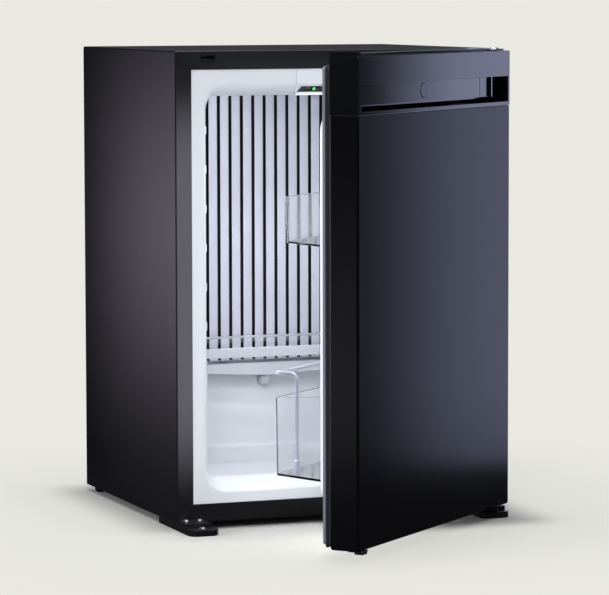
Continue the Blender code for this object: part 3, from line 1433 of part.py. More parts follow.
def door_liner(door):
    """The moulded inner skin of the door: a flange under the gasket and a ring of raised dams."""
    edge = flat_ring(DOOR_LINER_HALF, DOOR_LINER_LOW, DOOR_LINER_HIGH, DOOR_EDGE_RADIUS, DOOR_BACK)
    surface = loft([edge] + dam_rings(), capped="end")
    liner = door.add("door_liner", surface, LINER_WHITE)
    thickened(liner, LINER_WALL, outwards=faces_forward(liner))


def faces_forward(obj):
    """Whether the largest face of an open surface looks towards the front, -Y."""
    largest = max(obj.data.polygons, key=lambda face: face.area)
    return largest.normal.y < 0


def handle_module(door):
    """The moulded head of the door: a bevelled top, a lower end for the hinge and a recessed grip."""
    depth = (DOOR_FRONT, DOOR_BACK)
    block = box((-HALF, HALF), depth, (HEAD_SEAM, HEAD_TOP))
    head = bevelled(door.add("handle_module", block, HEAD_PLASTIC), SHEET, 2)
    strip_end = HALF - HEAD_LOW_LENGTH
    top = HEAD_TOP + HEAD_STRIP_RISE
    root = HEAD_TOP - 2 * SHEET
    edge = SHEET + FIT
    strip = [
        (DOOR_FRONT + edge, root),
        (DOOR_FRONT + edge, HEAD_TOP + FIT),
        (DOOR_FRONT + HEAD_STRIP_BEVEL, top),
        (DOOR_BACK - edge, top),
        (DOOR_BACK - edge, root),
    ]
    door.fuse(head, prism(strip, -HALF + HEAD_CAP_WIDTH - SHEET, strip_end, "X"))
    inset = SHEET / 2
    cap = box(
        (-HALF + inset, -HALF + HEAD_CAP_WIDTH),
        (DOOR_FRONT + inset, DOOR_BACK - inset),
        (root - SHEET / 2, HEAD_TOP + HEAD_CAP_RISE),
    )
    door.fuse(head, cap)
    left = -HALF + WINDOW_LEFT
    right = HALF - WINDOW_RIGHT
    seat = DOOR_FRONT + WINDOW_RECESS
    pocket_back = seat + GRIP_POCKET_DEPTH
    high = WINDOW_HIGH - GRIP_POCKET_LIP
    foot = GRIP_FOOT_RADIUS
    crown = GRIP_CROWN_RADIUS
    pocket = [
        (DOOR_FRONT - SHEET, WINDOW_LOW),
        (pocket_back - foot, WINDOW_LOW),
        (pocket_back, WINDOW_LOW + foot),
        (pocket_back, high - crown),
        (pocket_back - crown, high),
        (seat, high),
        (seat, WINDOW_HIGH),
        (DOOR_FRONT - SHEET, WINDOW_HIGH),
    ]
    door.cut(head, prism(pocket, left, right, "X"), "MANIFOLD")
    open_end = -HALF + GRIP_BEND_START
    open_y = (DOOR_FRONT - SHEET, pocket_back - SHEET)
    door.cut(head, box((open_end, right), open_y, (WINDOW_LOW + foot, WINDOW_HIGH)), "MANIFOLD")
    liner = DOOR_LINER_HALF + FIT
    liner_y = (DOOR_BACK - LINER_WALL - FIT, DOOR_BACK + SHEET)
    door.cut(head, box((-liner, liner), liner_y, (HEAD_SEAM - SHEET, DOOR_LINER_HIGH + FIT)))
    core = DAM_BASE_HALF
    core_y = (liner_y[0] - LINER_WALL - 3 * FIT, DOOR_BACK)
    door.cut(head, box((-core, core), core_y, (HEAD_SEAM - SHEET, DAM_TOP + DAM_FOOT_HIGH)))
    bush_low = HEAD_TOP - BUSH_LENGTH - FIT
    door.cut(head, rod((HINGE_X, HINGE_Y), BUSH_RADIUS + FIT, bush_low, HEAD_TOP + SHEET))
    bore = [
        (PIN_RADIUS + FIT, HEAD_TOP - FIT),
        (BUSH_RADIUS, HEAD_TOP - FIT),
        (BUSH_RADIUS, HEAD_TOP - BUSH_LENGTH),
        (PIN_RADIUS + FIT, HEAD_TOP - BUSH_LENGTH),
        (PIN_RADIUS + FIT, HEAD_TOP - FIT),
    ]
    door.add("upper_hinge_bush", turned(bore, (HINGE_X, HINGE_Y)), BUSH_PLASTIC)


def grip(door):
    """The glossy strip that bends into the pocket at one end, its end trim and the lock cap."""
    face = DOOR_FRONT + FIT
    wall = GRIP_PANEL_THICKNESS
    left = -HALF + WINDOW_LEFT + FIT
    bend_start = -HALF + GRIP_BEND_START
    bend_end = -HALF + GRIP_BEND_END
    end = -HALF + GRIP_TRIM_AT - GRIP_TRIM_WIDTH / 2 - FIT
    low = WINDOW_LOW + GRIP_SLOT
    high = WINDOW_HIGH - FIT
    front = [(left, face), (bend_start, face)]
    steps = 8
    for step in range(1, steps):
        share = step / steps
        x = bend_start + (bend_end - bend_start) * share
        front.append((x, face + GRIP_BEND_DEPTH * (1 - math.cos(math.pi * share)) / 2))
    front += [(bend_end, face + GRIP_BEND_DEPTH), (end, face + GRIP_BEND_DEPTH)]
    outline = front + [(x, y + wall) for x, y in reversed(front)]
    panel = door.add("grip_panel", prism(outline, low, high, "Z"), GLOSS_BLACK)
    cap_x = -HALF + LOCK_CAP_AT
    cap_z = (low + high) / 2 + SHEET
    hole = rod((cap_x, cap_z), LOCK_CAP_RADIUS + FIT, face - SHEET, face + 2 * wall, "Y", 32)
    door.cut(panel, hole, "MANIFOLD")
    cap = rod((cap_x, cap_z), LOCK_CAP_RADIUS, face - LOCK_CAP_RISE + FIT / 3, face + wall, "Y", 32)
    bevelled(door.add("lock_cap", cap, GLOSS_BLACK), FIT, 1)
    trim_x = (end + FIT, end + FIT + GRIP_TRIM_WIDTH)
    trim = box(trim_x, (face, face + GRIP_BEND_DEPTH + wall), (low, high))
    door.add("grip_trim", trim, TRIM_SILVER)


def lower_bushes(door):
    """The bush on the bottom pin and the spare bush, with its stepped foot, at the free end."""
    flange_top = DOOR_BOTTOM - FIT
    flange_low = flange_top - BUSH_FLANGE
    bore = PIN_RADIUS + FIT
    top = DOOR_BOTTOM + BUSH_LENGTH
    profile = [
        (bore, top),
        (BUSH_RADIUS, top),
        (BUSH_RADIUS, flange_top),
        (BUSH_FLANGE_RADIUS, flange_top),
        (BUSH_FLANGE_RADIUS, flange_low),
        (bore, flange_low),
        (bore, top),
    ]
    door.add("lower_hinge_bush", turned(profile, (HINGE_X, HINGE_Y)), BUSH_PLASTIC)
    front = DOOR_FRONT + FIT
    half = SPARE_FLANGE_WIDTH / 2
    flange_y = (front, front + SPARE_FLANGE_LENGTH)
    flange_x = (-HINGE_X - half, -HINGE_X + half)
    spare = door.add("spare_hinge_bush", box(flange_x, flange_y, (flange_low, flange_top)), BUSH_PLASTIC)
    bevelled(spare, BUSH_FLANGE / 3)
    nub_half = SPARE_NUB_WIDTH / 2
    nub_y = (front + FIT, front + SPARE_NUB_LENGTH)
    nub_z = (flange_low - SPARE_NUB_DROP, flange_low + SHEET)
    door.fuse(spare, box((-HINGE_X - nub_half, -HINGE_X + nub_half), nub_y, nub_z))
    door.fuse(spare, rod((-HINGE_X, HINGE_Y), BUSH_RADIUS, flange_low + SHEET / 2, top))


def door_gasket(door):
    """The magnetic seal: a base with a bellows fold and a lip that stops short of the hinge edge."""
    base = DOOR_BACK + FIT
    step = DOOR_BACK + GASKET_BASE
    face = -FIT
    inner = GASKET_HALF - GASKET_WIDTH
    fold = (base + step) / 2
    radius = GASKET_INSET

    def ring(inset, depth, drawn=0.0):
        low = GASKET_LOW + inset + drawn
        high = GASKET_HIGH - inset - drawn
        return flat_ring(GASKET_HALF - inset - drawn, low, high, radius, depth)

    def lip(depth, width):
        right = GASKET_HALF - GASKET_LIP_HINGE - width
        left = GASKET_HALF - GASKET_LIP_FREE - width
        low = GASKET_LOW + GASKET_LIP_BOTTOM + width
        return flat_ring(right, low, GASKET_HIGH - GASKET_LIP_TOP - width, radius, depth, left)

    width = GASKET_HALF - inner
    bellows = GASKET_BELLOWS
    rings = [
        ring(0, base),
        ring(0, fold - bellows),
        ring(0, fold, bellows),
        ring(0, fold + bellows),
        ring(0, step),
        lip(step, 0),
        lip(face, 0),
        lip(face, GASKET_LIP_WIDTH),
        ring(width, step),
        ring(width, base),
    ]
    door.add("door_gasket", loft(rings, looped=True), SEAL_GREY)


def bin_floor(low, reach, y):
    """Height of a bin's underside, which falls towards the door."""
    return low - BIN_FLOOR_SLOPE * (reach - BIN_FRONT_DRAFT - y)


def door_bin(door, name, top_far, height_far, reach, slope):
    """A clear tray, drawn in towards its floor; slope is the rise of its rim towards the door."""
    draft = BIN_FRONT_DRAFT
    wall = BIN_WALL
    rise = slope * (reach - BIN_NEAR)

    def ring(half, near, far, radius, far_height, near_height):
        return plan_ring(half, near, far, radius, near_height, far_height)

    low = top_far - height_far
    floor_rise = bin_floor(low, reach, BIN_NEAR) - low
    foot = BIN_HALF - draft / 2
    rings = [
        ring(foot, BIN_NEAR, reach - draft, BIN_CORNER, low, low + floor_rise),
        ring(BIN_HALF, BIN_NEAR, reach, BIN_CORNER, top_far, top_far + rise),
        ring(BIN_HALF - wall, BIN_NEAR + wall, reach - wall, BIN_CORNER - wall, top_far, top_far + rise),
        ring(
            foot - wall,
            BIN_NEAR + wall,
            reach - draft - wall,
            BIN_CORNER - wall,
            low + BIN_FLOOR,
            low + BIN_FLOOR + floor_rise,
        ),
    ]
    door.add(name, loft(rings, capped="both"), SMOKE_CLEAR)


def bin_brackets(door):
    """The two ledges on the dams' inner sides that carry the upper bin."""
    top = bin_floor(UPPER_BIN_TOP - UPPER_BIN_HEIGHT, UPPER_BIN_REACH, BIN_NEAR) - FIT
    depth = (DOOR_BACK + DAM_PANEL_SINK + FIT, BRACKET_FRONT)
    for side, place in ((-1, "left"), (1, "right")):
        across = sorted(side * x for x in (DAM_INNER_HALF - FIT, DAM_INNER_HALF - FIT - BRACKET_REACH))
        ledge = box(across, depth, (top - BRACKET_HEIGHT, top))
        bevelled(door.add(f"bin_bracket_{place}", ledge, BRACKET_GREY), SHEET, 1)


def bottle_guard(door):
    """The bent wire hoop that stands in the lower bin, with a sleeve on each leg."""
    leg = BIN_HALF - BIN_WALL - BIN_FRONT_DRAFT / 2 - GUARD_SLEEVE_RADIUS - FIT
    low = LOWER_BIN_TOP - LOWER_BIN_HEIGHT
    foot = bin_floor(low, LOWER_BIN_REACH, GUARD_LEG_AT + GUARD_SLEEVE_RADIUS) + BIN_FLOOR + FIT
    route = [
        (-leg, GUARD_LEG_AT, foot),
        (-leg, GUARD_LEG_AT, GUARD_TOP),
        (-leg, GUARD_RAIL_AT, GUARD_TOP),
        (leg, GUARD_RAIL_AT, GUARD_TOP),
        (leg, GUARD_LEG_AT, GUARD_TOP),
        (leg, GUARD_LEG_AT, foot),
    ]
    wire = tube(rounded(route, GUARD_BEND), GUARD_WIRE_RADIUS)
    guard = door.add("bottle_guard", wire, STEEL)
    for x in (-leg, leg):
        sleeve = rod((x, GUARD_LEG_AT), GUARD_SLEEVE_RADIUS, foot, foot + GUARD_SLEEVE_HEIGHT, sides=12)
        door.fuse(guard, sleeve)


def centre_on_floor(root):
    """Moves the whole object so that its bounding box stands centred on the origin."""
    bpy.context.view_layer.update()
    graph = bpy.context.evaluated_depsgraph_get()
    lows = Vector((1e9, 1e9, 1e9))
    highs = -lows
    for obj in bpy.data.collections[PARTS].objects:
        if obj.type != "MESH":
            continue
        evaluated = obj.evaluated_get(graph)
        mesh = evaluated.to_mesh()
        for vert in mesh.vertices:
            point = evaluated.matrix_world @ vert.co
            lows = Vector(map(min, lows, point))
            highs = Vector(map(max, highs, point))
        evaluated.to_mesh_clear()
    root.location = (-(lows.x + highs.x) / 2, -(lows.y + highs.y) / 2, -lows.z)
    bpy.context.view_layer.update()
    print("moved by", [round(value, 6) for value in root.location])
    print("size", [round(value, 6) for value in highs - lows])


def main():
    for obj in list(bpy.data.objects):
        bpy.data.objects.remove(obj, do_unlink=True)
    for name in (PARTS, CUTTERS):
        bpy.context.scene.collection.children.link(bpy.data.collections.new(name))
    cutters = bpy.data.collections[CUTTERS]
    cutters.hide_render = True
    root = bpy.data.objects.new("fridge_root", None)
    bpy.data.collections[PARTS].objects.link(root)
    cabinet = Body("cabinet_axis", root)
    door = Body("door_hinge_axis", root, axis=(HINGE_X, HINGE_Y, 0), turn=REST_ANGLE)

    outer_case(cabinet)
    base_pan(cabinet)
    back_panel(cabinet)
    foam_insulation(cabinet)
    inner_liner(cabinet)
    ceiling_module(cabinet)
    case_plugs(cabinet)
    top_hinge(cabinet)
    for side, place in ((-1, "left"), (1, "right")):
        front_foot(cabinet, side, f"front_{place}_foot")
        rear_foot(cabinet, side, f"rear_{place}_foot")
    evaporator(cabinet)
    drip_tray(cabinet)
    shelf(cabinet)
    rear_unit(cabinet)

    door_panel(door)
    door_foam(door)
    door_liner(door)
    handle_module(door)
    grip(door)
    lower_bushes(door)
    door_gasket(door)
    door_bin(door, "lower_bin", LOWER_BIN_TOP, LOWER_BIN_HEIGHT, LOWER_BIN_REACH, LOWER_BIN_SLOPE)
    door_bin(door, "upper_bin", UPPER_BIN_TOP, UPPER_BIN_HEIGHT, UPPER_BIN_REACH, UPPER_BIN_SLOPE)
    bin_brackets(door)
    bottle_guard(door)
    centre_on_floor(root)


main()
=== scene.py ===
"""Looks of a minibar fridge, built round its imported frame.

Every mesh is drawn in the design frame, in metres: X along the front, +Y to the back, +Z up, the
origin on the floor under the middle of the cabinet's front, and the door closed. A piece is then
moved with its body to where the frame holds it. A piece that stands for a CAD node keeps the
node's place and size, with finer rounding and more detail.
"""

import logging
import math
from collections.abc import Callable, Iterable, Sequence
from dataclasses import dataclass, field
from enum import Enum

import bmesh
import bpy
from mathutils import Matrix, Vector


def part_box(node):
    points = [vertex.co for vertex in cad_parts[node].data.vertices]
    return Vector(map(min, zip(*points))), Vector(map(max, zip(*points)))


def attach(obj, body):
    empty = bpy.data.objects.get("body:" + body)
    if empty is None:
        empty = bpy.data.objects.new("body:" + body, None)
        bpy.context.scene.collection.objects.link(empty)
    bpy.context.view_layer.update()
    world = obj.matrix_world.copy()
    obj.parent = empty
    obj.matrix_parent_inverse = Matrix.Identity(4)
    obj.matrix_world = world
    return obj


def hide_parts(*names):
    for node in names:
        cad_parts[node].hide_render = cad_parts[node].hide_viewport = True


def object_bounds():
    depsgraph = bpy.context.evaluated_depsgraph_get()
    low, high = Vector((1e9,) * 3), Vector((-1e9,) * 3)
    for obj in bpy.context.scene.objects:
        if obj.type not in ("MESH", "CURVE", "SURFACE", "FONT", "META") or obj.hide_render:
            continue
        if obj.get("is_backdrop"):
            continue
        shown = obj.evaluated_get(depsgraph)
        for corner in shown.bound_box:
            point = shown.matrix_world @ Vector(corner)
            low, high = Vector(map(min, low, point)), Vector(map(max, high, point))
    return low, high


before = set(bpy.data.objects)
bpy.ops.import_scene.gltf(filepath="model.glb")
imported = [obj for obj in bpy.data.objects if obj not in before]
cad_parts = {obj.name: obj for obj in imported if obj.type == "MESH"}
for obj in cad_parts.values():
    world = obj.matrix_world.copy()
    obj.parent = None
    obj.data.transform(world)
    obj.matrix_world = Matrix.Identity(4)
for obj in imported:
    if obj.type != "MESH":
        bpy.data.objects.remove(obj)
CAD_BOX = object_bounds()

LOG = logging.getLogger("minibar_fridge")
MM = 0.001
TINY = 1e-9
MERGE = 1e-5
SAME_POINT = 1e-7
STRAIGHT = 1e-6
QUARTER = math.radians(90)
CORNER_STEPS = 14
PLAN_CORNER_STEPS = 12
CAD_EDGE_ANGLE = 35.0
FACE_WEIGHT = 100
# Most values of a noise texture lie between these two.
NOISE_SPREAD = (0.3, 0.7)
Ring = list[Vector]
Point = Sequence[float]


class Rides(str, Enum):
    """The two bodies that a piece can move with."""

    CABINET = "cabinet"
    DOOR = "door"


class Caps(Enum):
    """Which ends of a row of sections are closed."""

    NONE = "none"
    END = "end"
    BOTH = "both"


class Solver(Enum):
    """How a cut is worked out."""

    EXACT = "EXACT"
    MANIFOLD = "MANIFOLD"


class Axis(Enum):
    """A direction that a shape is drawn out along, as the turn that takes Z there."""

    X = ((0, 0, 1, 0), (1, 0, 0, 0), (0, 1, 0, 0), (0, 0, 0, 1))
    Y = ((1, 0, 0, 0), (0, 0, -1, 0), (0, 1, 0, 0), (0, 0, 0, 1))
    Z = ((1, 0, 0, 0), (0, 1, 0, 0), (0, 0, 1, 0), (0, 0, 0, 1))

    @property
    def turn(self) -> Matrix:
        """The turn as a matrix."""
        return Matrix(self.value)

    @property
    def along(self) -> Vector:
        """The direction as a unit vector."""
        return self.turn.to_3x3() @ Vector((0, 0, 1))


@dataclass(frozen=True)
class Datum:
    """Places that several sub-assemblies share."""

    half: float = 0.201
    case_bottom: float = 0.008
    case_top: float = 0.556
    depth: float = 0.355
    sheet: float = 0.001
    fit: float = 0.0003
    open_half: float = 0.1812
    open_low: float = 0.0302
    open_high: float = 0.5342
    liner_front: float = 0.0013
    ceiling: float = 0.503
    floor: float = 0.058
    cavity_back: float = 0.262
    hinge_x: float = 0.1835
    hinge_y: float = -0.035
    rest_turn: float = 41.71
    door_back: float = -0.0128
    door_front: float = -0.0477
    door_bottom: float = 0.0146
    head_top: float = 0.5538
    head_seam: float = 0.4894


AT = Datum()


def placement(body: Rides) -> Matrix:
    """Where the frame holds a body's design frame.

    Args:
        body: the body.

    Returns:
        The matrix from the design frame to the row frame at rest.
    """
    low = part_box("outer_case")[0]
    shift = Matrix.Translation((low.x + AT.half, low.y, low.z - AT.case_bottom))
    if body is Rides.CABINET:
        return shift
    hinge = Matrix.Translation((AT.hinge_x, AT.hinge_y, 0))
    return shift @ hinge @ Matrix.Rotation(math.radians(AT.rest_turn), 4, "Z") @ hinge.inverted()


# ---- Finishes


def to_linear(code: str, alpha: float = 1.0) -> tuple[float, float, float, float]:
    """Turns an sRGB hex code to linear light.

    Args:
        code: six hex digits.
        alpha: the fourth number.

    Returns:
        Red, green, blue and alpha.
    """
    channels = [int(code[i : i + 2], 16) / 255 for i in (0, 2, 4)]
    red, green, blue = (c / 12.92 if c <= 0.04045 else ((c + 0.055) / 1.055) ** 2.4 for c in channels)
    return red, green, blue, alpha


def add_node(tree: bpy.types.NodeTree, kind: str, inputs: dict | None = None, **settings) -> bpy.types.Node:
    """Adds a shader node.

    Args:
        tree: the node tree.
        kind: the node's type.
        inputs: what each input takes, a socket to link or a value to set.
        **settings: the node's own properties.

    Returns:
        The node.
    """
    node = tree.nodes.new(kind)
    for name, value in settings.items():
        setattr(node, name, value)
    for key, value in (inputs or {}).items():
        if isinstance(value, bpy.types.NodeSocket):
            tree.links.new(value, node.inputs[key])
        else:
            node.inputs[key].default_value = value
    return node


@dataclass(frozen=True)
class Finish:
    """A surface: its colour, its gloss, the fine relief of how it was made and its slow unevenness.

    Sizes are real ones in millimetres. The relief's grain is drawn as coarse as it needs to show.
    """

    name: str
    colour: str
    roughness: float = 0.4
    metallic: float = 0.0
    ior: float = 1.5
    specular: float = 0.5
    grain_mm: float = 1.2
    relief_mm: float = 0.01
    stretch: tuple[float, float, float] = (1.0, 1.0, 1.0)
    mottle: float = 0.06
    mottle_mm: float = 40.0
    gloss_change: float = 0.05
    coat: float = 0.0
    coat_roughness: float = 0.06
    transmission: float = 0.0
    glow: float = 0.0

    def material(self) -> bpy.types.Material:
        """The material, made once and shared after that."""
        made = bpy.data.materials.get(self.name)
        return made if made else self.make()

    def make(self) -> bpy.types.Material:
        """Builds the material's nodes.

        Returns:
            The new material.
        """
        material = bpy.data.materials.new(self.name)
        material.use_nodes = True
        tree = material.node_tree
        shader = tree.nodes["Principled BSDF"]
        shader.inputs["Metallic"].default_value = self.metallic
        shader.inputs["IOR"].default_value = self.ior
        shader.inputs["Specular IOR Level"].default_value = self.specular
        shader.inputs["Coat Weight"].default_value = self.coat
        shader.inputs["Coat Roughness"].default_value = self.coat_roughness
        shader.inputs["Transmission Weight"].default_value = self.transmission
        place = add_node(tree, "ShaderNodeTexCoord").outputs["Object"]
        spread = add_node(tree, "ShaderNodeMapping", {"Vector": place, "Scale": self.stretch}).outputs[0]
        patches = {"Vector": spread, "Scale": 1 / (self.mottle_mm * MM), "Detail": 3.0}
        slow = add_node(tree, "ShaderNodeTexNoise", patches).outputs["Fac"]
        base = self.colour_socket(tree, spread, slow)
        tree.links.new(base, shader.inputs["Base Color"])
        rough = add_node(
            tree,
            "ShaderNodeMapRange",
            {
                "Value": slow,
                "From Min": NOISE_SPREAD[0],
                "From Max": NOISE_SPREAD[1],
                "To Min": max(self.roughness - self.gloss_change, 0.01),
                "To Max": min(self.roughness + self.gloss_change, 1.0),
            },
        ).outputs["Result"]
        tree.links.new(rough, shader.inputs["Roughness"])
        grain = {"Height": self.relief(tree, spread), "Distance": self.relief_mm * MM}
        relief = add_node(tree, "ShaderNodeBump", grain)
        tree.links.new(relief.outputs["Normal"], shader.inputs["Normal"])
        if self.glow:
            shader.inputs["Emission Color"].default_value = to_linear(self.colour)
            shader.inputs["Emission Strength"].default_value = self.glow
        return material

    def colour_socket(
        self, tree: bpy.types.NodeTree, place: bpy.types.NodeSocket, slow: bpy.types.NodeSocket
    ) -> bpy.types.NodeSocket:
        """The colour, a little lighter and darker in slow patches.

        Args:
            tree: the material's nodes.
            place: where the pattern is looked up; not used here.
            slow: the slow unevenness, from 0 to 1.

        Returns:
            The colour's socket.
        """
        base = Vector(to_linear(self.colour)[:3])
        dark, light = ((*(base * (1 + sign * self.mottle)), 1.0) for sign in (-1, 1))
        inputs = {"Factor": slow, 6: dark, 7: light}
        return add_node(tree, "ShaderNodeMix", inputs, data_type="RGBA").outputs[2]

    def relief(self, tree: bpy.types.NodeTree, place: bpy.types.NodeSocket) -> bpy.types.NodeSocket:
        """The fine grain that the tool or the coating leaves.

        Args:
            tree: the material's nodes.
            place: where the pattern is looked up.

        Returns:
            The socket with its height, from 0 to 1.
        """
        inputs = {"Vector": place, "Scale": 1 / (self.grain_mm * MM), "Detail": 2.0}
        return add_node(tree, "ShaderNodeTexNoise", inputs).outputs["Fac"]


@dataclass(frozen=True)
class Spangled(Finish):
    """Hot-dip galvanised sheet: zinc crystals as flat patches of slightly different grey."""

    crystal_mm: float = 9.0

    def colour_socket(
        self, tree: bpy.types.NodeTree, place: bpy.types.NodeSocket, slow: bpy.types.NodeSocket
    ) -> bpy.types.NodeSocket:
        """The colour of each crystal, a share lighter or darker than the sheet.

        Args:
            tree: the material's nodes.
            place: where the pattern is looked up.
            slow: the slow unevenness; not used, as the crystals take its place.

        Returns:
            The colour's socket.
        """
        cells = add_node(tree, "ShaderNodeTexVoronoi", {"Vector": place, "Scale": 1 / (self.crystal_mm * MM)})
        share = add_node(tree, "ShaderNodeSeparateColor", {"Color": cells.outputs["Color"]}).outputs["Red"]
        return super().colour_socket(tree, place, share)


@dataclass(frozen=True)
class Brushed(Finish):
    """Metal with fine drawn lines along Z, left by the rolling or extruding."""

    drawing: tuple[float, float, float] = (1.0, 1.0, 0.01)

    def relief(self, tree: bpy.types.NodeTree, place: bpy.types.NodeSocket) -> bpy.types.NodeSocket:
        """Lines that run along Z and change quickly across.

        Args:
            tree: the material's nodes.
            place: where the pattern is looked up.

        Returns:
            The socket with their height, from 0 to 1.
        """
        drawn = add_node(tree, "ShaderNodeMapping", {"Vector": place, "Scale": self.drawing}).outputs[0]
        inputs = {"Vector": drawn, "Scale": 1 / (self.grain_mm * MM), "Detail": 3.0}
        return add_node(tree, "ShaderNodeTexNoise", inputs).outputs["Fac"]


class Surface(Enum):
    """Every finish on the fridge. Grains finer than the render can show are drawn coarser than real."""

    # Powder coat on steel: satin, with a fine orange peel that softens the reflection.
    CASE_PAINT = Finish(
        "powder_coated_steel", "0A0A0D", 0.40, grain_mm=1.4, relief_mm=0.010, mottle=0.02, gloss_change=0.012
    )
    # Stove enamel on the door's steel skin: smoother than the case, so it mirrors the room softly.
    DOOR_PAINT = Finish(
        "stove_enamelled_steel", "08080A", 0.20, specular=0.29, grain_mm=2.2, relief_mm=0.004,
        mottle=0.02, gloss_change=0.010,
    )
    # Moulded ABS under a thin lacquer: the same black as the skin, with a clearer and brighter reflection.
    HEAD_ABS = Finish(
        "moulded_black_abs", "07080A", 0.14, specular=1.0, grain_mm=0.9, relief_mm=0.004,
        mottle=0.02, gloss_change=0.012, coat=0.35,
    )
    # ABS from a polished tool: a clear hard reflection.
    GLOSS_ABS = Finish("polished_black_abs", "07080A", 0.12, specular=1.0, grain_mm=6.0, relief_mm=0.002, coat=0.5)
    # Black polished acrylic strip of the control panel: deep and glassy.
    PANEL_ACRYLIC = Finish("polished_black_acrylic", "060708", 0.05, grain_mm=6.0, relief_mm=0.001, coat=0.5)
    # Vacuum-formed polystyrene: a soft satin white with a cool cast.
    LINER_HIPS = Finish(
        "vacuum_formed_white_polystyrene", "E3E6EA", 0.38, specular=0.22, grain_mm=2.5, relief_mm=0.006, mottle=0.012
    )
    # The module's moulded ABS: a shade whiter and finer than the liner.
    MODULE_ABS = Finish("moulded_white_abs", "E6E9ED", 0.36, grain_mm=0.8, relief_mm=0.004, mottle=0.01)
    # Frosted acrylic, lit softly from behind: an even pale glow.
    LENS_ACRYLIC = Finish("frosted_acrylic_lens", "F4F7FA", 0.45, relief_mm=0.003, mottle=0.01, glow=0.22)
    # Tinted polycarbonate over a lit diode: a small saturated green spot.
    LAMP = Finish("lit_green_polycarbonate", "32D636", 0.25, mottle=0.05, mottle_mm=1.0, glow=1.3)
    # Glass-filled nylon: black with a slightly waxy shine and a mottled skin.
    FOOT_NYLON = Finish("moulded_black_nylon", "111114", 0.30, grain_mm=0.7, relief_mm=0.012, mottle=0.10)
    # Nylon from an etched tool: so matt that the plug hides in its slot.
    PLUG_NYLON = Finish("moulded_matt_black_nylon", "0B0C0E", 0.62, specular=0.3, grain_mm=0.8, relief_mm=0.006)
    # Acetal: dark grey and slightly greasy, as a bearing is.
    BUSH_ACETAL = Finish("moulded_dark_acetal", "222327", 0.42, grain_mm=0.8, relief_mm=0.006)
    # Zinc-plated steel with a passivated skin: bright, with a little cloud in it.
    ZINC = Brushed("zinc_plated_steel", "B9BABD", 0.28, 1.0, grain_mm=0.4, relief_mm=0.004, mottle=0.08)
    # Nickelled wire, drawn through a die: soft pale highlights along it.
    WIRE_NICKEL = Brushed("nickelled_drawn_wire", "B2B2C0", 0.38, 0.55, grain_mm=0.5, relief_mm=0.003)
    # Anodised aluminium extrusion with lines along its length: a pale, almost white metal.
    COLD_PLATE = Brushed(
        "anodised_extruded_aluminium", "D6D6E2", 0.40, 0.25, grain_mm=0.7, relief_mm=0.010, mottle=0.02
    )
    # Painted shade for the walls and bottoms of the plate's grooves: a dark, rougher copy of the plate's metal.
    GROOVE_SHADE = Finish("groove_painted_shade", "17181D", 0.55, 0.3, grain_mm=0.8, relief_mm=0.01)
    # Drawn aluminium tube: mill finish, with fine lines.
    TUBE_ALUMINIUM = Brushed("drawn_aluminium_tube", "C9CBCF", 0.34, 1.0, grain_mm=0.5, relief_mm=0.005)
    # Hot-dip galvanised sheet: grey spangles that catch the light one by one.
    GALVANISED = Spangled("hot_dip_galvanised_sheet", "A9ADB2", 0.42, 1.0, mottle=0.16, gloss_change=0.10)
    # Black heat-resistant lacquer over welded tube, uneven from the weld and the dip.
    UNIT_LACQUER = Finish("lacquered_steel_tube", "19191B", 0.52, grain_mm=1.6, relief_mm=0.05, mottle=0.18)
    # Moulded polypropylene: a waxy light grey.
    TRAY_PP = Finish("moulded_grey_polypropylene", "C6C9CF", 0.40, grain_mm=1.0, relief_mm=0.008, mottle=0.02)
    # Extruded polypropylene: milky white and smooth.
    DRAIN_PP = Finish("extruded_white_polypropylene", "D9DBDC", 0.42, grain_mm=1.5, relief_mm=0.01)
    # Float glass: clear, with the faint green of iron.
    GLASS = Finish(
        "float_glass", "F0F6F4", 0.02, grain_mm=20.0, relief_mm=0.0005, mottle=0.01,
        transmission=1.0, gloss_change=0.01,
    )
    # Injection-moulded SAN: clear, with the faint flow lines of the mould.
    BIN_SAN = Finish(
        "clear_moulded_san", "FBFCFD", 0.03, ior=1.57, grain_mm=14.0, relief_mm=0.02, mottle=0.02,
        transmission=1.0, gloss_change=0.01,
    )
    # Extruded soft PVC of the seal: rubbery, dull and grey at the lip. The base's darker copy of the same PVC is
    # painted shade.
    SEAL_LIP = Finish("grey_soft_pvc", "6E7079", 0.55, grain_mm=0.8, relief_mm=0.01, mottle=0.05)
    SEAL_BASE_SHADE = Finish("grey_soft_pvc_painted_shade", "27282F", 0.55, grain_mm=0.8, relief_mm=0.01, mottle=0.05)
    # Vacuum-metallised ABS: a thin aluminium film under lacquer, so a bright line.
    TRIM = Finish("metallised_abs_trim", "C3C5CA", 0.24, 0.9, grain_mm=3.0, relief_mm=0.002)
    # Moulded polypropylene of the bins' ledges: a waxy mid grey.
    BRACKET_PP = Finish("moulded_mid_grey_polypropylene", "8B8F96", 0.42, grain_mm=0.9, relief_mm=0.008)
    # Foamed polyurethane: matt cream with small bubbles.
    FOAM = Finish("foamed_polyurethane", "E2D9BA", 0.95, grain_mm=2.5, relief_mm=0.4, mottle=0.10)
    # Extruded PVC sheath: black with a soft shine.
    CABLE_PVC = Finish("black_pvc_cable", "141416", 0.45, grain_mm=1.2, relief_mm=0.01)

    def material(self) -> bpy.types.Material:
        """The finish's material."""
        return self.value.material()


# ---- Drawing meshes


def sealed(bm: bmesh.types.BMesh, outward: bool = True) -> bpy.types.Mesh:
    """Ends a bmesh as a mesh.

    Args:
        bm: the bmesh, which is freed.
        outward: whether to turn the faces of a closed shape outwards.

    Returns:
        The mesh.
    """
    if outward:
        bmesh.ops.recalc_face_normals(bm, faces=bm.faces)
    mesh = bpy.data.meshes.new("piece")
    bm.to_mesh(mesh)
    bm.free()
    return mesh


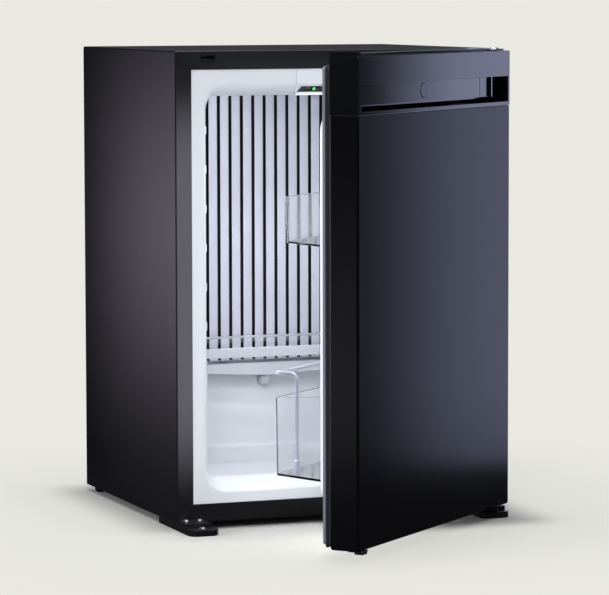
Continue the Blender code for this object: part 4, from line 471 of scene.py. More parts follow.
def block(x: Point, y: Point, z: Point) -> bpy.types.Mesh:
    """A rectangular block.

    Args:
        x: its two values along X.
        y: its two values along Y.
        z: its two values along Z.

    Returns:
        The closed mesh.
    """
    low, high = Vector((x[0], y[0], z[0])), Vector((x[1], y[1], z[1]))
    bm = bmesh.new()
    place = Matrix.Translation((low + high) / 2) @ Matrix.Diagonal((*(high - low), 1))
    bmesh.ops.create_cube(bm, size=1.0, matrix=place)
    return sealed(bm)


def quarter_turns(steps: int) -> list[float]:
    """The angles of a quarter turn in even steps, from 0 to 90 degrees."""
    return [QUARTER * step / steps for step in range(steps + 1)]


def bar(
    centre: Point, radius: float, low: float, high: float, axis: Axis = Axis.Z, sides: int = 48
) -> bpy.types.Mesh:
    """A round bar.

    Args:
        centre: its two coordinates across the axis, in XYZ order.
        radius: its radius.
        low: where it starts on the axis.
        high: where it ends.
        axis: its direction.
        sides: how many sides stand for the round.

    Returns:
        The closed mesh.
    """
    middle = (low + high) / 2
    first, second = centre
    place = {
        Axis.X: (middle, first, second),
        Axis.Y: (first, middle, second),
        Axis.Z: (first, second, middle),
    }[axis]
    bm = bmesh.new()
    bmesh.ops.create_cone(
        bm, cap_ends=True, segments=sides, radius1=radius, radius2=radius, depth=high - low,
        matrix=Matrix.Translation(place) @ axis.turn,
    )
    return sealed(bm)


def drawn_out(outline: Sequence[Point], low: float, high: float, axis: Axis) -> bpy.types.Mesh:
    """A flat outline drawn out along an axis.

    Args:
        outline: its points, in XY for Z, XZ for Y and YZ for X.
        low: where the shape starts on the axis.
        high: where it ends.
        axis: its direction.

    Returns:
        The closed mesh.
    """
    bm = bmesh.new()
    rows = []
    for along in (low, high):
        row = []
        for u, v in outline:
            point = {Axis.X: (along, u, v), Axis.Y: (u, along, v), Axis.Z: (u, v, along)}[axis]
            row.append(bm.verts.new(point))
        rows.append(row)
    count = len(outline)
    for i in range(count):
        j = (i + 1) % count
        bm.faces.new((rows[0][i], rows[0][j], rows[1][j], rows[1][i]))
    bm.faces.new(rows[1])
    bm.faces.new(reversed(rows[0]))
    return sealed(bm)


def skinned(
    rings: Sequence[Ring], closed: bool = True, caps: Caps = Caps.NONE, looped: bool = False
) -> bpy.types.Mesh:
    """Faces between sections of the same number of points.

    Args:
        rings: the sections, all wound one way.
        closed: whether each section is a closed loop.
        caps: which ends are closed.
        looped: whether the last section joins the first.

    Returns:
        The mesh, with its faces turned outwards where it is closed.
    """
    bm = bmesh.new()
    rows = [[bm.verts.new(point) for point in ring] for ring in rings]
    pairs = list(zip(rows, rows[1:]))
    if looped:
        pairs.append((rows[-1], rows[0]))
    for near, far in pairs:
        count = len(near) if closed else len(near) - 1
        for i in range(count):
            j = (i + 1) % len(near)
            bm.faces.new((near[i], near[j], far[j], far[i]))
    if caps is not Caps.NONE:
        bm.faces.new(rows[-1])
    if caps is Caps.BOTH:
        bm.faces.new(reversed(rows[0]))
    if looped or caps is Caps.BOTH:
        return sealed(bm)
    middle = sum((vert.co for vert in bm.verts), Vector()) / len(bm.verts)
    bm.normal_update()
    outward = sum(f.normal.dot(f.calc_center_median() - middle) * f.calc_area() for f in bm.faces)
    if outward < 0:
        bmesh.ops.reverse_faces(bm, faces=bm.faces)
    return sealed(bm, outward=False)


def piped(path: Sequence[Point], radius: float, sides: int = 20) -> bpy.types.Mesh:
    """A round bar along a path, with flat ends and sections carried along it without twist.

    Args:
        path: its points.
        radius: its radius.
        sides: how many sides stand for the round.

    Returns:
        The closed mesh.
    """
    points = [Vector(point) for point in path]
    points = [p for i, p in enumerate(points) if i == 0 or (p - points[i - 1]).length > SAME_POINT]
    rings = []
    side = None
    for i, point in enumerate(points):
        before = point - points[i - 1] if i else points[1] - point
        after = points[i + 1] - point if i + 1 < len(points) else before
        direction = (before.normalized() + after.normalized()).normalized()
        if side is None:
            side = direction.orthogonal().normalized()
        side = (side - direction * side.dot(direction)).normalized()
        other = direction.cross(side)
        stretch = 1 / max(math.cos(before.angle(after, 0.0) / 2), 0.5)
        bend = after.normalized() - before.normalized()
        ring = []
        for step in range(sides):
            turn = math.tau * step / sides
            offset = side * math.cos(turn) + other * math.sin(turn)
            if bend.length > STRAIGHT:
                along = bend.normalized()
                offset += along * offset.dot(along) * (stretch - 1)
            ring.append(point + offset * radius)
        rings.append(ring)
    return skinned(rings, caps=Caps.BOTH)


def bent(path: Sequence[Point], radius: float, steps: int = 10) -> list[Vector]:
    """The same path with an arc at each inner corner.

    Args:
        path: its points.
        radius: the arcs' radius.
        steps: the steps in each arc.

    Returns:
        The points of the bent path.
    """
    points = [Vector(point) for point in path]
    result = [points[0]]
    for before, corner, after in zip(points, points[1:], points[2:]):
        back = (before - corner).normalized()
        ahead = (after - corner).normalized()
        half_turn = back.angle(ahead) / 2
        reach = radius / math.tan(half_turn)
        centre = corner + (back + ahead).normalized() * radius / math.sin(half_turn)
        start = (corner + back * reach - centre).normalized()
        end = (corner + ahead * reach - centre).normalized()
        for step in range(steps + 1):
            result.append(centre + start.slerp(end, step / steps) * radius)
    return result + [points[-1]]


def spun(profile: Sequence[Point], centre: Point = (0, 0), sides: int = 48) -> bpy.types.Mesh:
    """A body of revolution about a vertical axis.

    Args:
        profile: (radius, height) points; it is closed along the axis where it ends there.
        centre: the axis, in XY.
        sides: how many sides stand for the round.

    Returns:
        The closed mesh.
    """
    bm = bmesh.new()
    rows = []
    for radius, height in profile:
        if radius < SAME_POINT:
            rows.append([bm.verts.new((centre[0], centre[1], height))] * sides)
            continue
        turns = [math.tau * step / sides for step in range(sides)]
        rows.append(
            [bm.verts.new((centre[0] + radius * math.cos(t), centre[1] + radius * math.sin(t), height)) for t in turns]
        )
    if profile[0][0] > SAME_POINT:
        rows.append(rows[0])
    for near, far in zip(rows, rows[1:]):
        for i in range(sides):
            j = (i + 1) % sides
            corners = []
            for vert in (near[i], near[j], far[j], far[i]):
                if vert not in corners:
                    corners.append(vert)
            if len(corners) > 2:
                bm.faces.new(corners)
    return sealed(bm)


def eased(rings: Sequence[Ring], reach: float, steps: int = 4, looped: bool = False) -> list[Ring]:
    """Rounds the edges that run along the sections.

    Args:
        rings: the sections.
        reach: how far from each edge the rounding starts, at most.
        steps: how many steps the rounding has.
        looped: whether the last section joins the first.

    Returns:
        The sections with each inner one replaced by a short curve of sections.
    """
    result = [] if looped else [rings[0]]
    count = len(rings)
    inner = range(count) if looped else range(1, count - 1)
    most = 0.48
    for i in inner:
        before, here, after = rings[i - 1], rings[i], rings[(i + 1) % count]
        for step in range(steps + 1):
            t = step / steps
            ring = []
            for a, b, c in zip(before, here, after):
                start = b + (a - b) * min(reach / max((a - b).length, TINY), most)
                end = b + (c - b) * min(reach / max((c - b).length, TINY), most)
                ring.append(start * (1 - t) ** 2 + b * 2 * t * (1 - t) + end * t**2)
            result.append(ring)
    return result if looped else result + [rings[-1]]


def gathered(meshes: Iterable[bpy.types.Mesh]) -> bpy.types.Mesh:
    """Several meshes as one.

    Args:
        meshes: the meshes, which stay as they are.

    Returns:
        One mesh with all their faces turned outwards.
    """
    bm = bmesh.new()
    for mesh in meshes:
        bm.from_mesh(mesh)
    return sealed(bm)


def front_ring(
    half: float, low: float, high: float, radius: float, depths: Point, left: float | None = None
) -> Ring:
    """A rounded rectangle seen from the front.

    Args:
        half: its half width, on the right.
        low: its lower edge.
        high: its upper edge.
        radius: the corners' radius.
        depths: its depth at the sides, at the lower end and at the upper end.
        left: its half width on the left, if that differs.

    Returns:
        The points, with the depth easing from side to end round each corner.
    """
    points = []
    left = half if left is None else left
    for quarter in range(4):
        middle_x = half - radius if quarter in (0, 3) else radius - left
        upper = quarter in (0, 1)
        middle_z = high - radius if upper else low + radius
        depth_end = depths[2] if upper else depths[1]
        for step in range(CORNER_STEPS + 1):
            angle = QUARTER * (quarter + step / CORNER_STEPS)
            ease = math.sin(angle) ** 2
            depth = depths[0] * (1 - ease) + depth_end * ease
            points.append(Vector((middle_x + radius * math.cos(angle), depth, middle_z + radius * math.sin(angle))))
    return points


def flat_ring(
    half: float, low: float, high: float, radius: float, depth: float, left: float | None = None
) -> Ring:
    """A rounded rectangle in one plane, seen from the front."""
    return front_ring(half, low, high, radius, (depth, depth, depth), left)


def plan_ring(half: float, near: float, far: float, radius: float, heights: Point) -> Ring:
    """A rounded rectangle seen from above, whose height changes evenly from near to far.

    Args:
        half: its half width.
        near: its near edge.
        far: its far edge.
        radius: the corners' radius.
        heights: its height at the near and at the far edge.

    Returns:
        The points.
    """
    points = []
    for quarter in range(4):
        middle_x = half - radius if quarter in (0, 3) else radius - half
        middle_y = far - radius if quarter in (0, 1) else near + radius
        for step in range(PLAN_CORNER_STEPS + 1):
            angle = QUARTER * (quarter + step / PLAN_CORNER_STEPS)
            y = middle_y + radius * math.sin(angle)
            share = (y - near) / (far - near)
            height = heights[0] + (heights[1] - heights[0]) * share
            points.append(Vector((middle_x + radius * math.cos(angle), y, height)))
    return points


# ---- Making pieces


@dataclass
class Piece:
    """One visible piece on its way into the scene."""

    name: str
    mesh: bpy.types.Mesh
    surface: Surface
    body: Rides
    slot: str
    replaces: tuple[str, ...] = ()
    smooth_angle: float = 32.0
    wall_clamp: float = 2.0
    obj: bpy.types.Object = field(init=False)

    def __post_init__(self) -> None:
        """Moves the mesh to its body's place and makes the object."""
        self.mesh.transform(placement(self.body))
        self.mesh.name = self.name
        self.obj = bpy.data.objects.new(self.name, self.mesh)
        bpy.context.scene.collection.objects.link(self.obj)
        if not self.mesh.materials:
            self.mesh.materials.append(self.surface.material())
        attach(self.obj, self.body.value)
        if self.replaces:
            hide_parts(*self.replaces)

    def bevel(self, width: float, segments: int = 4, angle: float = 30.0) -> "Piece":
        """Rounds the sharp edges.

        Args:
            width: the rounding's width.
            segments: its steps.
            angle: the least angle of an edge that counts as sharp, in degrees.

        Returns:
            The piece.
        """
        edges = self.obj.modifiers.new("edges", "BEVEL")
        edges.width = width
        edges.segments = segments
        edges.limit_method = "ANGLE"
        edges.angle_limit = math.radians(angle)
        return self

    def wall(self, thickness: float, outwards: bool = False) -> "Piece":
        """Gives an open surface a wall.

        Args:
            thickness: the wall's thickness.
            outwards: whether it is outside the surface.

        Returns:
            The piece.
        """
        solid = self.obj.modifiers.new("wall", "SOLIDIFY")
        solid.thickness = thickness
        solid.offset = 1.0 if outwards else -1.0
        solid.use_even_offset = True
        solid.thickness_clamp = self.wall_clamp
        solid.use_thickness_angle_clamp = True
        solid.use_quality_normals = True
        return self

    def cut(self, tool: bpy.types.Mesh, solver: Solver = Solver.EXACT) -> "Piece":
        """Cuts a mesh out of the piece.

        Args:
            tool: the mesh, drawn in the design frame.
            solver: how the cut is worked out.

        Returns:
            The piece.
        """
        tool.transform(placement(self.body))
        cutter = bpy.data.objects.new(f"{self.name}_cutter", tool)
        boolean = self.obj.modifiers.new("cut", "BOOLEAN")
        boolean.object = cutter
        boolean.solver = solver.value
        return self

    def done(self) -> bpy.types.Object:
        """Applies the modifiers, smooths the shading and reports the piece.

        Returns:
            The finished object.
        """
        bpy.context.view_layer.update()
        graph = bpy.context.evaluated_depsgraph_get()
        final = bpy.data.meshes.new_from_object(self.obj.evaluated_get(graph))
        cutters = [m.object for m in self.obj.modifiers if m.type == "BOOLEAN"]
        self.obj.modifiers.clear()
        self.obj.data = final
        final.name = self.name
        for cutter in cutters:
            bpy.data.objects.remove(cutter)
        shade(self.obj, self.smooth_angle)
        LOG.info("%s: %d faces on the %s", self.name, len(final.polygons), self.body.value)
        return self.obj


def dress(names: Iterable[str], surface: Surface, round_mm: float = 0.0, segments: int = 3) -> None:
    """Gives CAD nodes their finish, and rounds their edges where that shows.

    Args:
        names: the nodes.
        surface: their finish.
        round_mm: the edges' rounding, or 0 for none.
        segments: steps in the rounding.
    """
    for name in names:
        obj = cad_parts[name]
        obj.data.materials.clear()
        obj.data.materials.append(surface.material())
        weld = obj.modifiers.new("weld", "WELD")
        weld.merge_threshold = MERGE
        if round_mm:
            edges = obj.modifiers.new("edges", "BEVEL")
            edges.width = round_mm * MM
            edges.segments = segments
            edges.limit_method = "ANGLE"
            edges.angle_limit = math.radians(CAD_EDGE_ANGLE)
        shade(obj)
        LOG.info("%s keeps its CAD shape", name)


def shade(obj: bpy.types.Object, angle: float = 32.0) -> None:
    """Shades rounds smooth and lets large flat faces look flat.

    Args:
        obj: the object.
        angle: the angle in degrees over which an edge stays sharp.
    """
    obj.data.shade_smooth()
    obj.data.set_sharp_from_angle(angle=math.radians(angle))
    weighted = obj.modifiers.new("flat_faces", "WEIGHTED_NORMAL")
    weighted.weight = FACE_WEIGHT
    weighted.keep_sharp = True


# ---- Cabinet


@dataclass
class SteelCabinet:
    """The folded outer case, the base pan, the back panel and the plugs in them."""

    fold_radius: float = 0.002
    fold_steps: int = 6
    rear_flange: float = 0.012
    seam: float = 0.0006
    seam_depth: float = 0.0005
    slot_inset: float = 0.0305
    slot_width: float = 0.0204
    slot_top: float = 0.0036
    slot_height: float = 0.0092
    plug_inset: float = 0.034
    plug_width: float = 0.013
    plug_front: float = 0.027
    plug_depth: float = 0.006

    def build(self) -> None:
        """Makes the cabinet's pieces."""
        self.outer_case()
        self.base_pan()
        dress(["back_panel"], Surface.GALVANISED, 0.3)
        dress(["foam_insulation"], Surface.FOAM)
        dress(["hinge_slot_plug"], Surface.PLUG_NYLON, 0.1)
        dress(["top_plug_left", "top_plug_right"], Surface.BUSH_ACETAL, 0.25)

    def outer_case(self) -> None:
        """One folded sheet: left side, top and right side, with front and rear flanges."""

        def wrap(inset_side: float, inset_top: float, low: float, depth: float) -> Ring:
            """One section of the sheet, from the left foot over the top to the right foot."""
            side, high = AT.half - inset_side, AT.case_top - inset_top
            corners = ((-side, depth, low), (-side, depth, high), (side, depth, high), (side, depth, low))
            return [Vector(corner) for corner in corners]

        sheet = skinned(
            [
                wrap(AT.half - AT.open_half, AT.case_top - AT.open_high, AT.open_low, 0),
                wrap(0, 0, AT.case_bottom, 0),
                wrap(0, 0, AT.case_bottom, AT.depth),
                wrap(self.rear_flange, self.rear_flange, AT.case_bottom, AT.depth),
            ],
            closed=False,
        )
        case = Piece("case_sheet", sheet, Surface.CASE_PAINT, Rides.CABINET, "painted_sheet", ("outer_case",))
        case.bevel(self.fold_radius, self.fold_steps).wall(AT.sheet)
        high = AT.case_top - self.slot_top
        tools = []
        for side in (-1, 1):
            slot = sorted(side * (AT.half - self.slot_inset - offset) for offset in (0, self.slot_width))
            tools.append(block(slot, (-AT.sheet, 3 * AT.sheet), (high - self.slot_height, high)))
            plug = sorted(side * (AT.half - self.plug_inset - offset) for offset in (0, self.plug_width))
            depth = (self.plug_front, self.plug_front + self.plug_depth)
            tools.append(block(plug, depth, (AT.case_top - 3 * AT.sheet, AT.case_top + AT.sheet)))
            tools.append(self.mitre_seam(side))
        case.cut(gathered(tools)).done()

    def mitre_seam(self, side: int) -> bpy.types.Mesh:
        """The pressed seam from the opening's top corner towards the case's corner.

        Args:
            side: -1 for the left corner and 1 for the right one.

        Returns:
            The mesh that cuts it.
        """
        corner = Vector((side * AT.open_half, AT.open_high))
        outer = Vector((side * (AT.half - self.fold_radius), AT.case_top - self.fold_radius))
        along = (outer - corner).normalized()
        across = Vector((-along.y, along.x)) * self.seam / 2
        start, end = corner - along * AT.sheet, outer - along * AT.sheet
        outline = [start + across, start - across, end - across, end + across]
        return drawn_out(outline, -AT.sheet, self.seam_depth, Axis.Y)

    def base_pan(self) -> None:
        """The bottom sheet, its mitred front flange and its rear fold."""
        side = AT.half - 2 * AT.sheet - AT.fit
        mitre = Vector((AT.half - AT.open_half, AT.open_low - AT.case_bottom))
        shift = AT.fit / mitre.normalized().x
        slope = mitre.y / mitre.x
        shoulder = AT.case_bottom + (AT.half - side) * slope - shift
        corner = AT.open_half - AT.fit
        corner_low = AT.case_bottom + (AT.half - corner) * slope - shift
        rear = AT.depth - AT.sheet - AT.fit

        def strip(depth: float, height: float, outer: float | None = None) -> Ring:
            """One section of the pan from left to right, whose ends may stand at another height."""
            end = height if outer is None else outer
            points = ((-side, depth, end), (-corner, depth, height), (corner, depth, height), (side, depth, end))
            return [Vector(point) for point in points]

        rings = [
            strip(0, corner_low, shoulder),
            strip(0, AT.case_bottom),
            strip(rear, AT.case_bottom),
            strip(rear, AT.case_bottom + self.rear_flange),
        ]
        sheet = skinned(rings, closed=False)
        pan = Piece("base_sheet", sheet, Surface.CASE_PAINT, Rides.CABINET, "painted_sheet", ("base_pan",))
        pan.bevel(self.fold_radius, self.fold_steps).wall(AT.sheet).done()


@dataclass
class MouldedLiner:
    """The white inner liner: a flat face, a rounded mouth, a floor ramp and the shelf ribs.

    Below the shelf the side walls stay as thick as the ribs, as the photograph shows.
    """

    wall: float = 0.002
    lap: float = 0.006
    mouth_half: float = 0.169
    mouth_low: float = 0.041
    mouth_high: float = 0.523
    mouth_radius: float = 0.031
    lip_side: float = 0.0073
    lip_top_height: float = 0.020
    lip_top_depth: float = 0.026
    ramp_angle: float = 31.0
    ramp_foot: float = 0.005
    ramp_crest: float = 0.006
    corner_radius: float = 0.015
    back_radius: float = 0.006
    rib_count: int = 7
    rib_pitch: float = 0.0458
    rib_top: float = 0.1937
    rib_reach: float = 0.0117
    rib_face: float = 0.0105
    # The rib's underside: share of its reach, and drop below the end of its face.
    rib_underside: tuple[tuple[float, float], ...] = (
        (1.0, -0.0016),
        (0.97, -0.0004),
        (0.88, 0.0010),
        (0.50, 0.00375),
        (0.15, 0.00645),
        (0.03, 0.00765),
        (0.0, 0.009375),
    )
    rib_front: float = 0.030
    rib_back: float = 0.238
    rib_nose: float = 0.009
    root_radius: float = 0.0022
    tip_radius: float = 0.0024
    lip_steps: int = 22
    module_half: float = 0.051
    module_back: float = 0.075
    # Where the feed tube, the return line and the drain pass the back wall: place and radius.
    ports: tuple[tuple[tuple[float, float], float], ...] = (
        ((0.100, 0.420), 0.005),
        ((-0.030, 0.385), 0.007),
        ((0.0, 0.1405), 0.006),
    )

    @property
    def wall_half(self) -> float:
        """Half the width between the side walls."""
        return self.mouth_half - self.lip_side

    def build(self) -> None:
        """Makes the liner."""
        rings = [self.edge_ring()] + self.mouth_rings() + self.cavity_rings()
        liner = Piece(
            "cavity_liner",
            skinned(rings, caps=Caps.END),
            Surface.LINER_HIPS,
            Rides.CABINET,
            "white_moulding",
            ("inner_liner",),
            smooth_angle=50.0,
        )
        liner.wall(self.wall, outwards=True)
        notch = self.module_half + AT.fit
        top = AT.open_high + self.lap + AT.sheet
        behind = AT.cavity_back + 2 * self.wall
        tools = [block((-notch, notch), (0, self.module_back + AT.fit), (AT.ceiling - AT.sheet, top))]
        for place, radius in self.ports:
            tools.append(bar(place, radius + AT.fit, AT.cavity_back - AT.sheet, behind, Axis.Y, 24))
        liner.cut(gathered(tools)).done()

    def rib_profile(self) -> list[tuple[float, float]]:
        """The outline of one rib, from above to below.

        Returns:
            (reach into the cavity, drop from the rib's top) of each point.
        """
        root, tip, reach = self.root_radius, self.tip_radius, self.rib_reach
        points = [(root * (1 - math.cos(turn)), -root * (1 - math.sin(turn))) for turn in quarter_turns(4)]
        points += [(reach - tip * (1 - math.sin(turn)), tip * (1 - math.cos(turn))) for turn in quarter_turns(5)]
        points.append((reach, (tip + self.rib_face) / 2))
        return points + [(reach * share, self.rib_face + drop) for share, drop in self.rib_underside]

    def with_ribs(self, ring: Ring, share: float) -> Ring:
        """Adds the points of the ribs' outlines to a section's two side walls.

        Below the lowest rib the walls stay as thick as the ribs, and the lower corners are drawn in
        with them.

        Args:
            ring: a section from front_ring.
            share: how much of their reach the ribs have here.

        Returns:
            The section with the same number of added points, whatever the share.
        """
        half_ring = 2 * (CORNER_STEPS + 1)
        left, right, lower = ring[half_ring - 1], ring[-1], ring[half_ring:]
        profile = self.rib_profile()
        tops = [self.rib_top + self.rib_pitch * count for count in range(self.rib_count)]
        down = [(reach, top - drop) for top in reversed(tops[1:]) for reach, drop in profile]
        down += [(reach, tops[0] - drop) for reach, drop in profile[: -len(self.rib_underside)]]
        going_down = [Vector((left.x + reach * share, left.y, z)) for reach, z in down]
        going_up = [Vector((right.x - reach * share, right.y, z)) for reach, z in reversed(down)]
        base = min(point.z for point in lower)
        radius = lower[0].z - base
        inset = self.rib_reach * share
        drawn_in = []
        for point in lower:
            side = left.x if point.x < (left.x + right.x) / 2 else right.x
            share_out = 1 - min(abs(point.x - side) / max(radius, TINY), 1.0)
            inwards = math.copysign(inset * share_out, -side)
            height = base + (point.z - base) * max(radius - inset, TINY) / radius
            drawn_in.append(Vector((point.x + inwards, point.y, height if inset else point.z)))
        return ring[:half_ring] + going_down + drawn_in + going_up

    def edge_ring(self) -> Ring:
        """The liner's outer edge, behind the cabinet's front flanges."""
        lap, front = self.lap, AT.liner_front
        ring = front_ring(AT.open_half + lap, AT.open_low - lap, AT.open_high + lap, 2 * lap, (front,) * 3)
        return self.with_ribs(ring, 0.0)

    def ramp(self, steps: int) -> list[tuple[float, float]]:
        """The floor ramp from the mouth's face to the flat floor, at even spacing.

        Args:
            steps: how many stretches it is divided into.

        Returns:
            (rise, run) of each point.
        """
        slope = math.radians(self.ramp_angle)
        rise_all = AT.floor - self.mouth_low
        turn = QUARTER - slope
        foot_steps, crest_steps = 12, 8
        foot = [
            (self.ramp_foot * math.sin(turn * k / foot_steps), self.ramp_foot * (1 - math.cos(turn * k / foot_steps)))
            for k in range(foot_steps + 1)
        ]
        crest_rise = rise_all - self.ramp_crest * (1 - math.cos(slope))
        crest_run = foot[-1][1] + (crest_rise - foot[-1][0]) / math.tan(slope)
        end = crest_run + self.ramp_crest * math.sin(slope)
        crest = [
            (
                rise_all - self.ramp_crest * (1 - math.cos(slope * k / crest_steps)),
                end - self.ramp_crest * math.sin(slope * k / crest_steps),
            )
            for k in range(crest_steps, -1, -1)
        ]
        line = foot + crest
        lengths = [0.0]
        for a, b in zip(line, line[1:]):
            lengths.append(lengths[-1] + math.dist(a, b))
        result = []
        rounding = 1e-12
        for step in range(steps + 1):
            want = lengths[-1] * step / steps
            i = min(max(k for k in range(len(lengths)) if lengths[k] <= want + rounding), len(line) - 2)
            share = (want - lengths[i]) / max(lengths[i + 1] - lengths[i], rounding)
            result.append(tuple(line[i][k] + (line[i + 1][k] - line[i][k]) * min(share, 1.0) for k in (0, 1)))
        return result

    def mouth_rings(self) -> list[Ring]:
        """Sections from the flat face round the lip, steeper at the sides than at the top.

        Returns:
            The sections.
        """
        rings = []
        front = AT.liner_front
        turns = quarter_turns(self.lip_steps)
        for step, (turn, (rise, run)) in enumerate(zip(turns, self.ramp(self.lip_steps))):
            inwards, backwards = math.sin(turn), 1 - math.cos(turn)
            ring = front_ring(
                self.mouth_half - self.lip_side * inwards,
                self.mouth_low + rise,
                self.mouth_high - self.lip_top_height * inwards,
                self.mouth_radius + (self.corner_radius - self.mouth_radius) * step / self.lip_steps,
                (front + self.lip_side * backwards, front + run, front + self.lip_top_depth * backwards),
            )
            rings.append(self.with_ribs(ring, 0.0))
        return rings

    def rib_rows(self) -> list[tuple[float, float]]:
        """The sections along the ribs, with rounded noses at both ends.

        Returns:
            (depth, share of the ribs' reach) of each section.
        """
        nose = [(self.rib_front + self.rib_nose * (1 - math.cos(turn)), math.sin(turn)) for turn in quarter_turns(8)]
        rows = nose + [((self.rib_front + self.rib_back) / 2, 1.0)]
        return rows + [(self.rib_front + self.rib_back - depth, share) for depth, share in reversed(nose)]

    def cavity_rings(self) -> list[Ring]:
        """Sections along the ribbed walls and round the edge of the back wall.

        Returns:
            The sections.
        """
        rings = []
        for depth, share in self.rib_rows():
            ring = front_ring(self.wall_half, AT.floor, AT.ceiling, self.corner_radius, (depth,) * 3)
            rings.append(self.with_ribs(ring, share))
        straight = AT.cavity_back - self.back_radius
        for turn in quarter_turns(8):
            inset = self.back_radius * (1 - math.cos(turn))
            depth = straight + self.back_radius * math.sin(turn)
            radius = self.corner_radius - inset
            ring = front_ring(self.wall_half - inset, AT.floor + inset, AT.ceiling - inset, radius, (depth,) * 3)
            rings.append(self.with_ribs(ring, 0.0))
        return rings


@dataclass
class Interior:
    """What is fitted in the cold space: ceiling module, cold plate, drip tray and glass shelf."""

    plate_half: float = 0.125
    plate_low: float = 0.168
    plate_depth: float = 0.0117
    top_gap: float = 0.006
    pitch: float = 0.015
    groove: float = 0.004
    groove_depth: float = 0.0065
    lip: float = 0.0006
    lip_steps: int = 4

    def build(self) -> None:
        """Makes the pieces of the interior."""
        dress(["ceiling_module"], Surface.MODULE_ABS, 1.6, 6)
        dress(["control_panel"], Surface.PANEL_ACRYLIC, 0.25)
        dress(["light_diffuser"], Surface.LENS_ACRYLIC)
        dress(["status_lamp"], Surface.LAMP, 0.4, 4)
        self.cold_plate()
        dress(["drip_tray"], Surface.TRAY_PP, 0.4)
        dress(["shelf_front_trim", "shelf_rear_trim"], Surface.TRAY_PP, 0.5, 4)
        dress(["shelf_glass"], Surface.GLASS, 0.4)
        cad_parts["shelf_glass"].visible_shadow = False

    def cold_plate(self) -> None:
        """The aluminium extrusion on the back wall, with rounded lands between grooves darkened with painted shade."""
        back = AT.cavity_back - AT.fit
        front = back - self.plate_depth
        top = AT.ceiling - self.top_gap - 2 * AT.fit
        half, lip = self.plate_half, self.lip
        ease = [(lip * math.sin(turn), front + lip * (1 - math.cos(turn))) for turn in quarter_turns(self.lip_steps)]
        outline = [(-half, back), (-half, front + lip), (-half + lip, front)]
        count = int((half - self.groove) / self.pitch)
        for number in range(-count, count + 1):
            low, high = (number * self.pitch + side * self.groove / 2 for side in (-1, 1))
            outline += [(low - lip + across, depth) for across, depth in ease]
            outline += [(low, front + self.groove_depth), (high, front + self.groove_depth)]
            outline += [(high + lip - across, depth) for across, depth in reversed(ease)]
        outline += [(half - lip, front), (half, front + lip), (half, back)]
        mesh = drawn_out(outline, self.plate_low, top, Axis.Z)
        mesh.materials.append(Surface.COLD_PLATE.material())
        mesh.materials.append(Surface.GROOVE_SHADE.material())
        # Upright faces deep in the grooves take the dark groove finish, which is painted shade.
        shade_from, shade_to = front + 1.2 * lip, back - AT.sheet
        for face in mesh.polygons:
            upright = abs(face.normal.z) < 0.5
            if upright and shade_from < face.center.y < shade_to and abs(face.center.x) < half - lip:
                face.material_index = 1
        Piece("cold_plate", mesh, Surface.COLD_PLATE, Rides.CABINET, "cold_plate", ("evaporator_fins",)).done()


@dataclass
class Hardware:
    """Hinge plate, pins, bushes, feet and their screws."""

    head_radius: float = 0.0038
    head_height: float = 0.0016
    head_fullness: float = 0.8
    head_foot: float = 0.97
    shank_radius: float = 0.002
    recess: float = 0.0022
    recess_width: float = 0.0007
    recess_depth: float = 0.0011
    turn_each: float = 25.0

    def build(self) -> None:
        """Dresses the hinge hardware and makes the screws."""
        dress(["top_hinge_bracket", "top_hinge_pin", "bottom_hinge_pin"], Surface.ZINC, 0.2)
        dress(["upper_hinge_bush", "lower_hinge_bush", "spare_hinge_bush"], Surface.BUSH_ACETAL, 0.25)
        feet = ["front_left_foot", "front_right_foot", "rear_left_foot", "rear_right_foot"]
        dress(feet, Surface.FOOT_NYLON, 0.6, 4)
        for side, count in (("left", 3), ("right", 2)):
            for number in range(1, count + 1):
                self.screw(f"front_{side}_foot_screw_{number}", self.turn_each * number)

    def screw(self, node: str, turn: float) -> None:
        """A pan-head screw with a cross recess, where its plain CAD stand-in is.

        Args:
            node: the CAD node that it stands for.
            turn: how far the recess is turned, in degrees.
        """
        low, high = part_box(node)
        middle = placement(Rides.CABINET).inverted() @ ((low + high) / 2)
        top = high.z
        seat = top - self.head_height
        profile = [
            (self.head_radius * math.sin(angle), seat + self.head_height * math.cos(angle) ** self.head_fullness)
            for angle in quarter_turns(6)
        ]
        profile += [(self.head_radius * self.head_foot, seat), (self.shank_radius, seat)]
        profile += [(self.shank_radius, low.z + AT.sheet / 2), (self.shank_radius / 2, low.z), (0, low.z)]
        mesh = spun(profile, (middle.x, middle.y), 36)
        screw = Piece(f"{node}_head", mesh, Surface.ZINC, Rides.CABINET, "plated_steel", (node,))
        half = self.recess_width / 2
        for quarter in (0, 90):
            arm = block((-self.recess, self.recess), (-half, half), (top - self.recess_depth, top + AT.sheet))
            spin = Matrix.Rotation(math.radians(turn + quarter), 4, "Z")
            arm.transform(Matrix.Translation((middle.x, middle.y, 0)) @ spin)
            screw.cut(arm)
        screw.done()


# ---- Door


